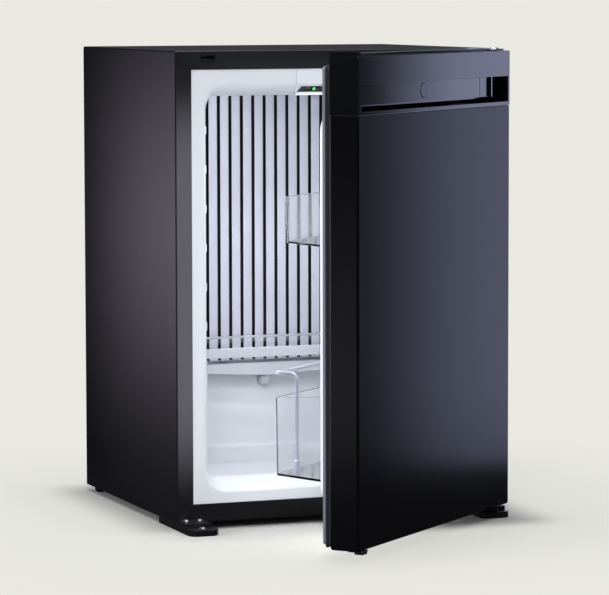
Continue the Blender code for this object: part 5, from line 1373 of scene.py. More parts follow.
@dataclass
class DoorShell:
    """The door's painted skin, its moulded inner liner with the raised dams, and its seal."""

    edge_radius: float = 0.003
    edge_steps: int = 8
    back_return: float = 0.012
    bush_hole: float = 0.0063
    liner_wall: float = 0.002
    liner_top: float = 0.5403
    easing: float = 0.0018
    dam_half: float = 0.156
    dam_inner: float = 0.143
    dam_reach: float = 0.0231
    dam_base: float = 0.162
    dam_bottom: float = 0.0625
    dam_top: float = 0.4865
    dam_radius: float = 0.014
    # How far up the dam's outer slope its sections are.
    dam_shares: tuple[float, ...] = (0, 0.2, 0.45, 0.66, 0.88)
    crown: float = 0.003
    foot_low: float = 0.014
    foot_high: float = 0.0195
    sink: float = 0.005
    panel_middle: float = 0.28
    panel_step: float = 0.03
    seal_inset: float = 0.004
    seal_bottom: float = 0.0016
    seal_top: float = 0.0095
    seal_easing: float = 0.0009
    seal_width: float = 0.017
    seal_base: float = 0.0074
    bellows: float = 0.0022
    lip_bottom: float = 0.0028
    lip_top: float = 0.0018
    lip_hinge: float = 0.011
    lip_free: float = 0.004
    lip_width: float = 0.012
    lip_margin: float = 0.0002

    def build(self) -> None:
        """Makes the shell's pieces."""
        self.skin()
        self.inner_liner()
        self.seal()
        dress(["door_foam"], Surface.FOAM)

    def skin(self) -> None:
        """The folded sheet: front, sides and bottom, with returns round the back."""
        top = AT.head_seam - AT.fit

        def frame_line(inset: float, depth: float) -> Ring:
            """One section of the sheet, down the left side, along the bottom and up the right side."""
            side, low = AT.half - inset, AT.door_bottom + inset
            corners = ((-side, depth, top), (-side, depth, low), (side, depth, low), (side, depth, top))
            return [Vector(corner) for corner in corners]

        front = frame_line(0, AT.door_front)
        sides = skinned([frame_line(self.back_return, AT.door_back), frame_line(0, AT.door_back), front], closed=False)
        bm = bmesh.new()
        bm.from_mesh(sides)
        bm.faces.new([min(bm.verts, key=lambda vert, target=point: (vert.co - target).length) for point in front])
        bmesh.ops.recalc_face_normals(bm, faces=bm.faces)
        bm.normal_update()
        if max(bm.faces, key=lambda item: item.calc_area()).normal.y > 0:
            bmesh.ops.reverse_faces(bm, faces=bm.faces)
        mesh = sealed(bm, outward=False)
        skin = Piece("door_skin", mesh, Surface.DOOR_PAINT, Rides.DOOR, "door_sheet", ("door_panel",))
        skin.bevel(self.edge_radius, self.edge_steps).wall(AT.sheet)
        low, high = AT.door_bottom - AT.sheet, AT.door_bottom + 3 * AT.sheet
        holes = [bar((x, AT.hinge_y), self.bush_hole, low, high) for x in (AT.hinge_x, -AT.hinge_x)]
        skin.cut(gathered(holes)).done()

    def dam_rings(self) -> list[Ring]:
        """Sections from the foot of the raised dams, over them and down to the sunk panel.

        Returns:
            The sections.
        """
        reach = self.dam_reach - AT.door_back
        low_foot, high_foot = self.dam_bottom - self.foot_low, self.dam_top + self.foot_high
        rings = []
        for share in self.dam_shares:
            rings.append(
                flat_ring(
                    self.dam_base + (self.dam_half - self.dam_base) * share,
                    low_foot + self.foot_low * share,
                    high_foot - self.foot_high * share**2,
                    self.dam_radius,
                    AT.door_back + reach * share,
                )
            )
        slim = self.dam_half - self.crown
        low, high = self.dam_bottom + self.crown, self.dam_top - self.crown
        width = slim - self.dam_inner
        radius = self.dam_radius - width / 2
        inner_low, inner_high, half = low + width, high - width, self.crown / 2
        panel = AT.door_back + self.sink
        rings.append(flat_ring(slim, low, high, self.dam_radius, self.dam_reach))
        rings.append(flat_ring(self.dam_inner + half, inner_low - half, inner_high + half, radius, self.dam_reach))
        rings.append(flat_ring(self.dam_inner, inner_low, inner_high, radius, self.dam_reach - half))
        rings.append(flat_ring(self.dam_inner, inner_low, inner_high, radius, panel))
        return rings

    def inner_liner(self) -> None:
        """The moulded skin: a flange under the seal, the ring of dams and the panel inside it."""
        side = AT.half - self.back_return - AT.fit
        low = AT.door_bottom + self.back_return + AT.fit
        edge = flat_ring(side, low, self.liner_top, self.edge_radius, AT.door_back)
        rings = [edge] + self.dam_rings()
        inner = [point.lerp(Vector((0, point.y, self.panel_middle)), self.panel_step) for point in rings[-1]]
        mesh = skinned(eased(rings + [inner], self.easing), caps=Caps.END)
        liner = Piece("door_inner_skin", mesh, Surface.LINER_HIPS, Rides.DOOR, "white_moulding", ("door_liner",), 50.0)
        largest = max(mesh.polygons, key=lambda face: face.area)
        facing_front = (placement(Rides.DOOR).inverted().to_3x3() @ largest.normal).y < 0
        liner.wall(self.liner_wall, outwards=facing_front).done()

    def seal(self) -> None:
        """The magnetic seal: a base with a bellows fold, darkened with painted shade, and a lip in the seal's own grey
        on the cabinet's side.
        """
        base, step, face = AT.door_back + AT.fit, AT.door_back + self.seal_base, -AT.fit
        half = AT.half - self.seal_inset
        low_all, high_all = AT.door_bottom + self.seal_bottom, AT.head_top - self.seal_top
        fold = (base + step) / 2
        radius = self.seal_inset

        def ring(inset: float, depth: float, drawn: float = 0.0) -> Ring:
            """One section of the base, drawn in by its inset and the bellows' fold."""
            total = inset + drawn
            return flat_ring(half - total, low_all + total, high_all - total, radius, depth)

        def lip(depth: float, width: float) -> Ring:
            """One section of the lip, which is set in further at the hinge than at the free side."""
            low = low_all + self.lip_bottom + width
            high = high_all - self.lip_top - width
            return flat_ring(half - self.lip_hinge - width, low, high, radius, depth, half - self.lip_free - width)

        width = self.seal_width
        rings = [
            ring(0, base),
            ring(0, fold - self.bellows),
            ring(0, fold, self.bellows),
            ring(0, fold + self.bellows),
            ring(0, step),
            lip(step, 0),
            lip(face, 0),
            lip(face, self.lip_width),
            ring(width, step),
            ring(width, base),
        ]
        mesh = skinned(eased(rings, self.seal_easing, looped=True), looped=True)
        # The base takes a darker copy of the seal's PVC as painted shade. The lip keeps the PVC's own grey.
        mesh.materials.append(Surface.SEAL_BASE_SHADE.material())
        mesh.materials.append(Surface.SEAL_LIP.material())
        lip_from = step - self.lip_margin
        for polygon in mesh.polygons:
            if polygon.center.y > lip_from:
                polygon.material_index = 1
        Piece("magnetic_seal", mesh, Surface.SEAL_BASE_SHADE, Rides.DOOR, "seal", ("door_gasket",), 45.0).done()


@dataclass
class DoorHead:
    """The moulded head, with the glossy grip strip, its end trim and the lock cap."""

    window_left: float = 0.009
    window_low: float = 0.494
    window_high: float = 0.5239
    slot: float = 0.007
    thickness: float = 0.0017
    bend_start: float = 0.313
    bend_end: float = 0.327
    bend_depth: float = 0.0034
    trim_at: float = 0.3505
    trim_width: float = 0.0016
    cap_at: float = 0.1657
    cap_radius: float = 0.0083
    bend_steps: int = 28
    strip_round: float = 0.00025

    def build(self) -> None:
        """Dresses the head and makes the strip."""
        dress(["handle_module"], Surface.HEAD_ABS, 0.45, 4)
        self.grip_strip()
        self.trim()
        dress(["lock_cap"], Surface.GLOSS_ABS, 0.3)

    def trim(self) -> None:
        """Dresses the strip's end trim: bright on its front edge, black on its sides."""
        dress(["grip_trim"], Surface.TRIM, 0.15)
        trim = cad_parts["grip_trim"]
        trim.data.materials.append(Surface.GLOSS_ABS.material())
        front = placement(Rides.DOOR).to_3x3() @ Vector((0, -1, 0))
        for face in trim.data.polygons:
            face.material_index = 0 if face.normal.dot(front) > 0.7 else 1

    def grip_strip(self) -> None:
        """The glossy strip, which bends smoothly into the pocket before its far end."""
        face = AT.door_front + AT.fit
        left = -AT.half + self.window_left + AT.fit
        start, stop = -AT.half + self.bend_start, -AT.half + self.bend_end
        end = -AT.half + self.trim_at - self.trim_width / 2 - AT.fit
        low, high = self.window_low + self.slot, self.window_high - AT.fit
        front = [(left, face)]
        for step in range(self.bend_steps + 1):
            share = step / self.bend_steps
            depth = self.bend_depth * (1 - math.cos(math.pi * share)) / 2
            front.append((start + (stop - start) * share, face + depth))
        front.append((end, face + self.bend_depth))
        outline = front + [(x, y + self.thickness) for x, y in reversed(front)]
        mesh = drawn_out(outline, low, high, Axis.Z)
        strip = Piece("grip_strip", mesh, Surface.GLOSS_ABS, Rides.DOOR, "gloss_black", ("grip_panel",))
        centre = (-AT.half + self.cap_at, (low + high) / 2 + AT.sheet)
        hole = bar(centre, self.cap_radius + 2 * AT.fit, face - AT.sheet, face + 2 * self.thickness, Axis.Y, 64)
        strip.cut(hole, Solver.MANIFOLD).bevel(self.strip_round, 3, 40).done()


@dataclass(frozen=True)
class Tray:
    """One clear bin: its rim's height at the far side, its far wall, its reach and its rim's slope."""

    name: str
    node: str
    top: float
    height: float
    reach: float
    slope: float

    @property
    def low(self) -> float:
        """Where its underside is at the far side."""
        return self.top - self.height


@dataclass
class DoorStorage:
    """The two clear bins, the ledges under the upper one and the wire guard in the lower one."""

    lower: Tray = Tray("lower_clear_bin", "lower_bin", 0.1704, 0.0881, 0.0912, 0.06)
    upper: Tray = Tray("upper_clear_bin", "upper_bin", 0.3965, 0.0521, 0.0774, 0.133)
    half: float = 0.134
    wall: float = 0.0018
    floor: float = 0.002
    near: float = -0.005
    corner: float = 0.004
    draft: float = 0.0014
    floor_slope: float = 0.07
    floor_step: float = 0.1
    easing: float = 0.0009
    wire_radius: float = 0.002
    leg_at: float = 0.0646
    rail_at: float = 0.0925
    rail_height: float = 0.1976
    bend: float = 0.008
    sleeve_height: float = 0.018
    sleeve_radius: float = 0.0032
    sleeve_taper: float = 0.0012

    def build(self) -> None:
        """Makes the storage pieces."""
        self.bin(self.lower)
        self.bin(self.upper)
        dress(["bin_bracket_left", "bin_bracket_right"], Surface.BRACKET_PP, 0.5, 4)
        self.wire_guard()

    def underside(self, tray: Tray, depth: float) -> float:
        """Height of a bin's underside at a depth; it falls towards the door."""
        return tray.low - self.floor_slope * (tray.reach - self.draft - depth)

    def bin(self, tray: Tray) -> None:
        """A clear tray with rounded rim and edges.

        Args:
            tray: which bin, and its sizes.
        """
        reach = tray.reach
        under = (self.underside(tray, self.near), tray.low)
        floor = tuple(height + self.floor for height in under)
        rim = (tray.top + tray.slope * (reach - self.near), tray.top)
        foot, wall = self.half - self.draft / 2, self.wall

        def ring(half: float, inset: float, far: float, heights: Point) -> Ring:
            """One section, set in from a half width and a far edge."""
            return plan_ring(half - inset, self.near + inset, far - inset, self.corner - inset, heights)

        def shrunk(section: Ring) -> Ring:
            """The same section a step nearer the tray's middle, inside the flat floor."""
            return [
                point.lerp(Vector((0, (self.near + reach) / 2, point.z)), self.floor_step) for point in section
            ]

        outside = ring(foot, 0, reach - self.draft, under)
        inside = ring(foot, wall, reach - self.draft, floor)
        rims = [ring(self.half, 0, reach, rim), ring(self.half, wall, reach, rim)]
        rings = [shrunk(outside), outside, *rims, inside, shrunk(inside)]
        mesh = skinned(eased(rings, self.easing, 3), caps=Caps.BOTH)
        clear = Piece(tray.name, mesh, Surface.BIN_SAN, Rides.DOOR, "smoke_clear", (tray.node,), 40.0).done()
        clear.visible_shadow = False

    def wire_guard(self) -> None:
        """The bent wire hoop and the sleeve on each of its legs."""
        leg = self.half - self.wall - self.draft / 2 - self.sleeve_radius - AT.fit
        foot = self.underside(self.lower, self.leg_at + self.sleeve_radius) + self.floor + AT.fit
        route = [
            (-leg, self.leg_at, foot),
            (-leg, self.leg_at, self.rail_height),
            (-leg, self.rail_at, self.rail_height),
            (leg, self.rail_at, self.rail_height),
            (leg, self.leg_at, self.rail_height),
            (leg, self.leg_at, foot),
        ]
        top = foot + self.sleeve_height
        profile = [
            (0, foot),
            (self.sleeve_radius - AT.fit, foot),
            (self.sleeve_radius, foot + AT.fit),
            (self.sleeve_radius, top - self.sleeve_taper),
            (self.sleeve_radius - self.sleeve_taper / 2, top - AT.fit),
            (self.wire_radius, top),
            (0, top),
        ]
        parts = [piped(bent(route, self.bend, 12), self.wire_radius, 24)]
        parts += [spun(profile, (x, self.leg_at), 32) for x in (-leg, leg)]
        mesh = gathered(parts)
        Piece("wire_guard", mesh, Surface.WIRE_NICKEL, Rides.DOOR, "chromed_wire", ("bottle_guard",), 45.0).done()


# ---- Absorption unit


@dataclass
class CoolingUnit:
    """The welded absorption unit behind the back panel, with its pan, box and lead."""

    plane: float = 0.3235
    tube: float = 0.007
    bend: float = 0.018
    boiler_x: float = -0.120
    boiler_radius: float = 0.028
    boiler_low: float = 0.085
    boiler_height: float = 0.255
    bead_shares: tuple[float, ...] = (0.8, 0.5, 0.2)
    bead_depth: float = 0.0008
    bead_half: float = 0.003
    vessel_x: float = 0.060
    vessel_z: float = 0.090
    vessel_radius: float = 0.024
    vessel_length: float = 0.190
    weld_depth: float = 0.0007
    weld_at: float = 0.002
    weld_width: float = 0.003
    coil_ends: tuple[float, float] = (-0.030, 0.150)
    coil_pitch: float = 0.040
    coil_passes: int = 5
    pan_height: float = 0.018
    return_z: float = 0.385
    condenser_z: float = 0.480
    condenser_ends: tuple[float, float] = (-0.060, 0.120)
    fin_count: int = 12
    fin: float = 0.0008
    fin_width: float = 0.046
    fin_corner: float = 0.004
    collar_half: float = 0.002
    # How far the fin's pressed collar stands off the tube at its foot and at its end.
    collar_rise: tuple[float, float] = (0.0010, 0.0003)
    feed_radius: float = 0.005
    feed: tuple[float, float] = (0.100, 0.420)
    lead_radius: float = 0.003
    box_side: float = 0.080
    box_height: float = 0.046

    def build(self) -> None:
        """Makes the unit's pieces."""
        self.boiler()
        self.vessel()
        self.coil()
        self.condenser()
        self.feed_tube()
        self.exchanger()
        self.lead()
        dress(["unit_bracket_left", "unit_bracket_right"], Surface.GALVANISED, 0.3)
        dress(["evaporation_pan"], Surface.FOOT_NYLON, 0.4)
        dress(["electronics_box"], Surface.HEAD_ABS, 0.3)
        dress(["mains_gland"], Surface.CABLE_PVC, 0.3)
        dress(["drain_tube"], Surface.DRAIN_PP)

    def lacquered(self, name: str, mesh: bpy.types.Mesh, node: str, smooth: float = 45.0) -> None:
        """Makes one of the unit's lacquered steel pieces, which stands for a CAD node."""
        Piece(name, mesh, Surface.UNIT_LACQUER, Rides.CABINET, "unit_steel", (node,), smooth).done()

    def boiler(self) -> None:
        """The insulated boiler's sheet jacket: rolled ends and three pressed beads."""
        low, high, radius = self.boiler_low, self.boiler_low + self.boiler_height, self.boiler_radius
        edge = radius / 5
        rolled = [(math.sin(turn), math.cos(turn)) for turn in quarter_turns(6)]
        profile = [(0.0, high)]
        profile += [(radius - edge + edge * out, high - edge + edge * up) for out, up in rolled]
        bead_steps = 8
        for share in self.bead_shares:
            centre = low + self.boiler_height * share
            for step in range(bead_steps + 1):
                turn = math.pi * step / bead_steps
                point = (radius - self.bead_depth * math.sin(turn), centre + self.bead_half * math.cos(turn))
                profile.append(point)
        profile += [(radius - edge + edge * out, low + edge - edge * up) for up, out in rolled]
        profile.append((0.0, low))
        mesh = spun(profile, (self.boiler_x, self.plane), 64)
        Piece("boiler_shell", mesh, Surface.GALVANISED, Rides.CABINET, "galvanised", ("boiler_jacket",)).done()

    def vessel(self) -> None:
        """The absorber's horizontal vessel with domed ends and a weld bead at each."""
        half, radius = self.vessel_length / 2, self.vessel_radius
        dome = radius / 2
        profile = [(0.0, half)]
        turns = quarter_turns(12)[1:]
        profile += [(radius * math.sin(turn), half - dome + dome * math.cos(turn)) for turn in turns]
        weld_steps = 8
        for step in range(1, weld_steps):
            turn = math.pi * step / weld_steps
            along = half - dome - self.weld_at - self.weld_width * step / weld_steps
            profile.append((radius - self.weld_depth * math.sin(turn), along))
        profile += [(r, -z) for r, z in reversed(profile)]
        mesh = spun(profile, (0, 0), 56)
        mesh.transform(Matrix.Translation((self.vessel_x, self.plane, self.vessel_z)) @ Axis.X.turn)
        self.lacquered("vessel_shell", mesh, "absorber_vessel", 32.0)

    def coil(self) -> None:
        """The absorber's serpentine and the return line into the wall."""
        y = self.plane
        vessel_top = self.vessel_z + self.vessel_radius
        riser = self.vessel_x + self.vessel_length / 2 - self.vessel_radius
        path = [(riser, y, vessel_top + AT.fit)]
        height = vessel_top + self.pan_height + self.tube + 5 * AT.fit
        for number in range(self.coil_passes):
            path.append((path[-1][0], y, height))
            path.append((self.coil_ends[number % 2], y, height))
            height += self.coil_pitch
        path += [(self.coil_ends[0], y, self.return_z), (self.coil_ends[0], AT.cavity_back, self.return_z)]
        mesh = piped(bent(path, self.bend), self.tube)
        self.lacquered("serpentine", mesh, "absorber_coil")

    def condenser(self) -> None:
        """The vapour tube from the boiler and the finned condenser at its end."""
        y, z = self.plane, self.condenser_z
        left, right = self.condenser_ends
        path = [(self.boiler_x, y, self.boiler_low + self.boiler_height + AT.fit), (self.boiler_x, y, z), (right, y, z)]
        parts = [piped(bent(path, self.bend), self.tube)]
        outline = self.fin_outline()
        long, low = self.collar_half, -self.collar_half
        foot, end = (self.tube + rise for rise in self.collar_rise)
        collar = [(0.0, low), (foot, low), (end, long), (0.0, long)]
        for number in range(self.fin_count):
            x = left + (right - left) / self.fin_count * (number + 0.5)
            parts.append(drawn_out(outline, x - self.fin / 2, x + self.fin / 2, Axis.X))
            ring = spun(collar, (0, 0), 28)
            ring.transform(Matrix.Translation((x + self.collar_half, y, z)) @ Axis.X.turn)
            parts.append(ring)
        mesh = gathered(parts)
        self.lacquered("finned_condenser", mesh, "condenser", 40.0)

    def fin_outline(self) -> list[tuple[float, float]]:
        """The outline of a fin, a square with rounded corners about the tube.

        Returns:
            Its points in YZ.
        """
        middle = self.fin_width / 2 - self.fin_corner
        corner_steps = 5
        outline = []
        for quarter in range(4):
            across = middle if quarter in (0, 3) else -middle
            above = middle if quarter in (0, 1) else -middle
            for step in range(corner_steps + 1):
                turn = QUARTER * (quarter + step / corner_steps)
                y = self.plane + across + self.fin_corner * math.cos(turn)
                outline.append((y, self.condenser_z + above + self.fin_corner * math.sin(turn)))
        return outline

    def feed_tube(self) -> None:
        """The aluminium tube from the condenser to the cold plate."""
        y, z = self.plane, self.condenser_z
        right = self.condenser_ends[1]
        far = right + 2 * self.bend
        path = [
            (right + AT.fit, y, z),
            (far, y, z),
            (far, y, self.feed[1]),
            (self.feed[0], y, self.feed[1]),
            (self.feed[0], AT.cavity_back, self.feed[1]),
        ]
        mesh = piped(bent(path, self.bend), self.feed_radius)
        Piece("feed_line", mesh, Surface.TUBE_ALUMINIUM, Rides.CABINET, "cold_plate", ("evaporator_tube",), 45.0).done()

    def exchanger(self) -> None:
        """The heat exchanger's tube from the vessel to the boiler's foot."""
        y = self.plane
        low = self.boiler_low - self.bend - self.tube
        vessel_left = self.vessel_x - self.vessel_length / 2
        side = (self.boiler_x + self.boiler_radius + vessel_left) / 2
        path = [
            (vessel_left - AT.fit, y, self.vessel_z),
            (side, y, self.vessel_z),
            (side, y, low),
            (self.boiler_x, y, low),
            (self.boiler_x, y, self.boiler_low - AT.fit),
        ]
        radius = min((self.vessel_z - low) / 2, self.bend) - AT.fit
        self.lacquered("exchanger_line", piped(bent(path, radius), self.tube), "heat_exchanger_tube")

    def lead(self) -> None:
        """The fixed lead from the electronics box to the boiler's heater."""
        y = self.plane - self.boiler_radius / 2
        low = AT.case_bottom + AT.sheet + AT.fit + self.box_height / 2
        x = self.boiler_x + self.boiler_radius + 2.5 * self.tube
        high = self.boiler_low + self.boiler_radius
        flat = math.sqrt(self.boiler_radius**2 - (self.boiler_radius / 2) ** 2)
        path = [
            (self.box_side - AT.fit, y, low),
            (x, y, low),
            (x, y, high),
            (self.boiler_x + flat + self.lead_radius, y, high),
        ]
        mesh = piped(bent(path, 3 * self.lead_radius), self.lead_radius, 18)
        Piece("heater_cable", mesh, Surface.CABLE_PVC, Rides.CABINET, "foot_moulding", ("heater_lead",), 45.0).done()


# ---- Studio


@dataclass(frozen=True)
class SoftLight:
    """A rectangular soft light: where it stands, what it points at, its size, power and colour."""

    name: str
    place: tuple[float, float, float]
    aim: tuple[float, float, float]
    size: tuple[float, float]
    watts: float
    colour: str = "FFFFFF"
    glossy: bool = True

    def build(self) -> None:
        """Makes the light, which the gloss mirrors unless that is turned off."""
        data = bpy.data.lights.new(self.name, "AREA")
        data.shape = "RECTANGLE"
        data.size, data.size_y = self.size
        data.energy = self.watts
        data.color = to_linear(self.colour)[:3]
        light = bpy.data.objects.new(self.name, data)
        light.location = self.place
        light.visible_glossy = self.glossy
        light.rotation_euler = (Vector(self.aim) - Vector(self.place)).to_track_quat("-Z", "Y").to_euler()
        bpy.context.scene.collection.objects.link(light)


@dataclass(frozen=True)
class Card:
    """A card that shows only in reflections, and may brighten from one side to the other.

    The fade gives the shares of the width between which it brightens, from the left edge as the
    object sees it; unless given, the card is bright all over. Its upper and lower ends fade out.
    """

    name: str
    place: tuple[float, float, float]
    size: tuple[float, float]
    facing: tuple[float, float, float]
    colour: str
    level: float
    fade: tuple[float, float] = (-1.0, -0.5)
    end_fade: float = 0.35

    def build(self) -> None:
        """Makes the card and hides it from all but the gloss."""
        bm = bmesh.new()
        bmesh.ops.create_grid(bm, x_segments=4, y_segments=4, size=0.5)
        mesh = sealed(bm, outward=False)
        card = bpy.data.objects.new(self.name, mesh)
        turn = Vector(self.facing).to_track_quat("Z", "Y").to_matrix().to_4x4()
        card.matrix_world = Matrix.Translation(self.place) @ turn @ Matrix.Diagonal((*self.size, 1, 1))
        bpy.context.scene.collection.objects.link(card)
        card.visible_camera = False
        card.visible_diffuse = False
        card.visible_shadow = False
        card.visible_transmission = False
        mesh.materials.append(self.shade())
        card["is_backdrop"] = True

    def shade(self) -> bpy.types.Material:
        """The graded glow.

        Returns:
            The card's material.
        """
        material = bpy.data.materials.new(f"{self.name}_shade")
        material.use_nodes = True
        tree = material.node_tree
        tree.nodes.clear()
        place = add_node(tree, "ShaderNodeTexCoord").outputs["Object"]
        axes = add_node(tree, "ShaderNodeSeparateXYZ", {0: place}).outputs
        start, end = (share - 0.5 for share in self.fade)
        across = {"Value": axes["X"], "From Min": start, "From Max": end}
        share = add_node(tree, "ShaderNodeMapRange", across, interpolation_type="SMOOTHSTEP").outputs["Result"]
        height = add_node(tree, "ShaderNodeMath", {0: axes["Y"]}, operation="ABSOLUTE").outputs[0]
        ends = {"Value": height, "From Min": 0.5 - self.end_fade, "From Max": 0.5, "To Min": 1.0, "To Max": 0.0}
        fade = add_node(tree, "ShaderNodeMapRange", ends, interpolation_type="SMOOTHSTEP").outputs["Result"]
        both = add_node(tree, "ShaderNodeMath", {0: share, 1: fade}, operation="MULTIPLY").outputs[0]
        level = add_node(tree, "ShaderNodeMath", {0: both, 1: self.level}, operation="MULTIPLY").outputs[0]
        glow = add_node(tree, "ShaderNodeEmission", {"Color": to_linear(self.colour), "Strength": level})
        add_node(tree, "ShaderNodeOutputMaterial", {"Surface": glow.outputs[0]})
        return material


@dataclass
class Studio:
    """Camera, pale floor, soft lights and the cards that shape the reflections."""

    focal_px: float = 3413.97
    image_width: int = 609
    sensor: float = 36.0
    camera_at: tuple[float, float, float] = (-1.46214, -3.74396, 0.62590)
    yaw: float = 0.36445
    pitch: float = 0.0900
    roll: float = -0.00214
    background: str = "E9E9E2"
    sky: str = "F6F7FA"
    ambient: float = 0.55
    dark_room: str = "F2F2FF"
    gloss_room: float = 0.03
    floor_radius: float = 9.0
    floor_rings: int = 24
    floor_sides: int = 96
    floor_crowding: float = 1.5
    paper: tuple[str, str] = ("AEAEA8", "B2B2AC")
    # Paper fibres are finer than the render can show, so they are drawn about a millimetre wide.
    fibres_per_metre: float = 900.0
    # Distances from the cabinet between which the floor gives way to the background, and by how much.
    floor_fades: tuple[tuple[float, float, float], ...] = ((0.0, 0.07, 0.72), (0.07, 0.45, 0.28))
    # The shadow is kept further out in front of the cabinet, by twice this.
    shadow_front: float = 0.03
    soft_lights: tuple[SoftLight, ...] = (
        SoftLight("overhead", (0.0, 0.15, 3.0), (0, 0.05, 0), (0.7, 0.7), 70.0),
        SoftLight("front_fill", (-1.0, -2.5, 2.1), (0, 0.1, 0.2), (0.8, 0.8), 40.0, "F6F8FF"),
        SoftLight("left_fill", (-2.0, 0.15, 0.60), (0, -0.15, 0.25), (0.5, 0.5), 26.0, "F6F8FF", False),
    )
    lens_size: tuple[float, float] = (0.09, 0.01)
    lens_watts: float = 0.5
    # The lamp's place behind and below the lens's middle, and the depth that it points at.
    lamp_behind: float = 0.01
    lamp_below: float = 0.004
    lamp_aim: float = 0.02
    reflections: tuple[Card, ...] = (
        # Seen in the cabinet's left side, brighter towards the front.
        Card("side_card", (-0.50, 0.47, 0.32), (0.60, 0.72), (0, -1, 0), "E6DEF2", 1.8, (0.90, 0.58), 0.5),
        # Seen in the open door's front and head, dark at the free edge.
        Card("door_card", (0.64, 0.45, 0.34), (1.20, 1.25), (-1, 0, 0), "B9BFE2", 1.60, (0.985, 0.85)),
        # Seen in the top sheet.
        Card("top_card", (1.0, 3.0, 0.9), (3.0, 1.0), (0, -1, 0), "A0ABB4", 0.35),
        # Seen in the rounds along the upper edges.
        Card("over_card", (0.0, 0.0, 1.7), (2.2, 2.2), (0, 0, -1), "C9D2E6", 0.5, end_fade=0.2),
        # Seen in the open door's free edge.
        Card("left_card", (-0.90, -0.55, 0.06), (0.90, 0.80), (1, 0, 0), "D2D0DC", 0.80, end_fade=0.5),
        # Seen in the tubes of the absorption unit.
        Card("rear_card", (0.35, 1.30, 0.26), (1.30, 0.52), (0, -1, 0), "CFD4DC", 0.9, end_fade=0.3),
        # Seen in the cabinet's left front flange.
        Card("frame_card", (-0.165, -0.10, 0.275), (0.10, 0.50), (0, 1, 0), "DAD6E6", 4.6, end_fade=0.2),
    )

    def build(self) -> None:
        """Sets up everything that isn't part of the object."""
        self.camera()
        self.world()
        self.floor()
        for light in self.soft_lights:
            light.build()
        self.cold_space_lamp()
        for card in self.reflections:
            card.build()
        bpy.context.scene.view_settings.view_transform = "Standard"

    def camera(self) -> None:
        """The camera at the photograph's angle and distance."""
        data = bpy.data.cameras.new("camera")
        data.sensor_width = self.sensor
        data.lens = self.focal_px * self.sensor / self.image_width
        data.clip_end = 100.0
        camera = bpy.data.objects.new("camera", data)
        bpy.context.scene.collection.objects.link(camera)
        ahead, aside = math.cos(self.yaw), math.sin(self.yaw)
        flat, drop = math.cos(self.pitch), math.sin(self.pitch)
        forward = Vector((aside * flat, ahead * flat, -drop))
        level = Vector((ahead, -aside, 0))
        upright = level.cross(forward)
        right = level * math.cos(self.roll) + upright * math.sin(self.roll)
        up = upright * math.cos(self.roll) - level * math.sin(self.roll)
        turn = Matrix((right, up, -forward)).transposed().to_4x4()
        camera.matrix_world = Matrix.Translation(self.camera_at) @ turn
        bpy.context.scene.camera = camera

    def seen_directly(self, tree: bpy.types.NodeTree, rays: bpy.types.NodeOutputs) -> bpy.types.NodeSocket:
        """What the eye sees, itself or through glass.

        Args:
            tree: the node tree.
            rays: the outputs of its Light Path node.

        Returns:
            A socket that is 1 there and 0 elsewhere.
        """
        inputs = {0: rays["Is Camera Ray"], 1: rays["Is Transmission Ray"]}
        return add_node(tree, "ShaderNodeMath", inputs, operation="MAXIMUM").outputs[0]

    def world(self) -> None:
        """A soft white surround for light, a pale backdrop for the eye and a dark room for the gloss."""
        world = bpy.data.worlds.new("studio")
        bpy.context.scene.world = world
        world.use_nodes = True
        tree = world.node_tree
        tree.nodes.clear()
        glows = ((self.background, 1.0), (self.sky, self.ambient), (self.dark_room, self.gloss_room))
        pale, soft, dark = (
            add_node(tree, "ShaderNodeBackground", {"Color": to_linear(colour), "Strength": level}).outputs[0]
            for colour, level in glows
        )
        rays = add_node(tree, "ShaderNodeLightPath").outputs
        lit = add_node(tree, "ShaderNodeMixShader", {0: rays["Is Glossy Ray"], 1: soft, 2: dark}).outputs[0]
        seen = self.seen_directly(tree, rays)
        mix = add_node(tree, "ShaderNodeMixShader", {0: seen, 1: lit, 2: pale})
        add_node(tree, "ShaderNodeOutputWorld", {"Surface": mix.outputs[0]})

    def floor(self) -> None:
        """A pale disc that fades into the background well away from the object."""
        bm = bmesh.new()
        sides = self.floor_sides
        turns = [math.tau * number / sides for number in range(sides)]
        previous = [bm.verts.new((0, 0, 0))]
        for step in range(1, self.floor_rings + 1):
            radius = self.floor_radius * (step / self.floor_rings) ** self.floor_crowding
            row = [bm.verts.new((radius * math.cos(turn), radius * math.sin(turn), 0)) for turn in turns]
            for number in range(sides):
                after = (number + 1) % sides
                if len(previous) == 1:
                    bm.faces.new((previous[0], row[number], row[after]))
                else:
                    bm.faces.new((previous[number], row[number], row[after], previous[after]))
            previous = row
        floor = bpy.data.objects.new("studio_floor", sealed(bm))
        bpy.context.scene.collection.objects.link(floor)
        floor.data.materials.append(self.floor_paper())
        floor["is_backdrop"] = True

    def floor_paper(self) -> bpy.types.Material:
        """Matt background paper that gives way to the background colour with distance.

        Returns:
            The floor's material.
        """
        material = bpy.data.materials.new("matt_background_paper")
        material.use_nodes = True
        tree = material.node_tree
        shader = tree.nodes["Principled BSDF"]
        place = add_node(tree, "ShaderNodeTexCoord").outputs["Object"]
        grain = {"Vector": place, "Scale": self.fibres_per_metre, "Detail": 2.0}
        fibre = add_node(tree, "ShaderNodeTexNoise", grain).outputs["Fac"]
        shades = {"Factor": fibre, 6: to_linear(self.paper[0]), 7: to_linear(self.paper[1])}
        colour = add_node(tree, "ShaderNodeMix", shades, data_type="RGBA").outputs[2]
        tree.links.new(colour, shader.inputs["Base Color"])
        shader.inputs["Roughness"].default_value = 0.9
        shader.inputs["Specular IOR Level"].default_value = 0.2
        rays = add_node(tree, "ShaderNodeLightPath").outputs
        inputs = {0: self.seen_directly(tree, rays), 1: self.floor_fade(tree, place)}
        share = add_node(tree, "ShaderNodeMath", inputs, operation="MULTIPLY").outputs[0]
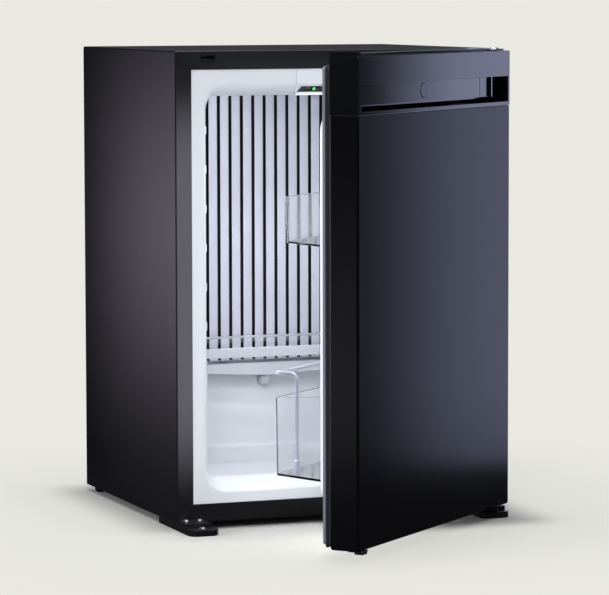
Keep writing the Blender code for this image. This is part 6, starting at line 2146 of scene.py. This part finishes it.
        pale, dark = (
            add_node(tree, "ShaderNodeEmission", {"Color": to_linear(colour), "Strength": level}).outputs[0]
            for colour, level in ((self.background, 1.0), (self.dark_room, self.gloss_room))
        )
        mix = add_node(tree, "ShaderNodeMixShader", {0: share, 1: shader.outputs[0], 2: pale}).outputs[0]
        final = add_node(tree, "ShaderNodeMixShader", {0: rays["Is Glossy Ray"], 1: mix, 2: dark})
        tree.links.new(final.outputs[0], tree.nodes["Material Output"].inputs["Surface"])
        return material

    def floor_fade(self, tree: bpy.types.NodeTree, place: bpy.types.NodeSocket) -> bpy.types.NodeSocket:
        """How far the floor has given way to the background, from the distance to the cabinet.

        Args:
            tree: the floor's nodes.
            place: the point on the floor.

        Returns:
            A socket that is 0 beside the cabinet and 1 far from it.
        """
        low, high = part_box("outer_case")
        centre, half = (low + high) / 2, (high - low) / 2
        away = place
        for operation, vector in (
            ("SUBTRACT", (centre.x, centre.y - self.shadow_front, 0)),
            ("ABSOLUTE", (0, 0, 0)),
            ("SUBTRACT", (half.x, half.y + self.shadow_front, 1)),
            ("MAXIMUM", (0, 0, 0)),
        ):
            away = add_node(tree, "ShaderNodeVectorMath", {0: away, 1: vector}, operation=operation).outputs[0]
        gap = add_node(tree, "ShaderNodeVectorMath", {0: away}, operation="LENGTH").outputs["Value"]
        near, far = (
            add_node(
                tree,
                "ShaderNodeMapRange",
                {"Value": gap, "From Min": start, "From Max": end, "To Max": most},
                interpolation_type="SMOOTHSTEP",
            ).outputs["Result"]
            for start, end, most in self.floor_fades
        )
        return add_node(tree, "ShaderNodeMath", {0: near, 1: far}, operation="ADD").outputs[0]

    def cold_space_lamp(self) -> None:
        """The fridge's own lamp, just below and behind its lens."""
        low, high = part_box("light_diffuser")
        lens = (low + high) / 2
        place = (lens.x, lens.y + self.lamp_behind, lens.z - self.lamp_below)
        SoftLight("cold_space_lamp", place, (lens.x, self.lamp_aim, 0), self.lens_size, self.lens_watts).build()


def write_sizes() -> None:
    """Works out the CAD box and the visual model's box as plain lists, which are not written anywhere."""
    boxes = {"cad": CAD_BOX, "visual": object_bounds()}
    plain = {name: [list(low), list(high)] for name, (low, high) in boxes.items()}


def main() -> None:
    """Builds the fridge's looks and the studio round it."""
    logging.basicConfig(level=logging.INFO, format="%(message)s")
    builders: list[Callable[[], None]] = [
        Studio().build,
        SteelCabinet().build,
        MouldedLiner().build,
        Interior().build,
        Hardware().build,
        DoorShell().build,
        DoorHead().build,
        DoorStorage().build,
        CoolingUnit().build,
    ]
    for build in builders:
        build()
    write_sizes()


if __name__ == "__main__":
    main()
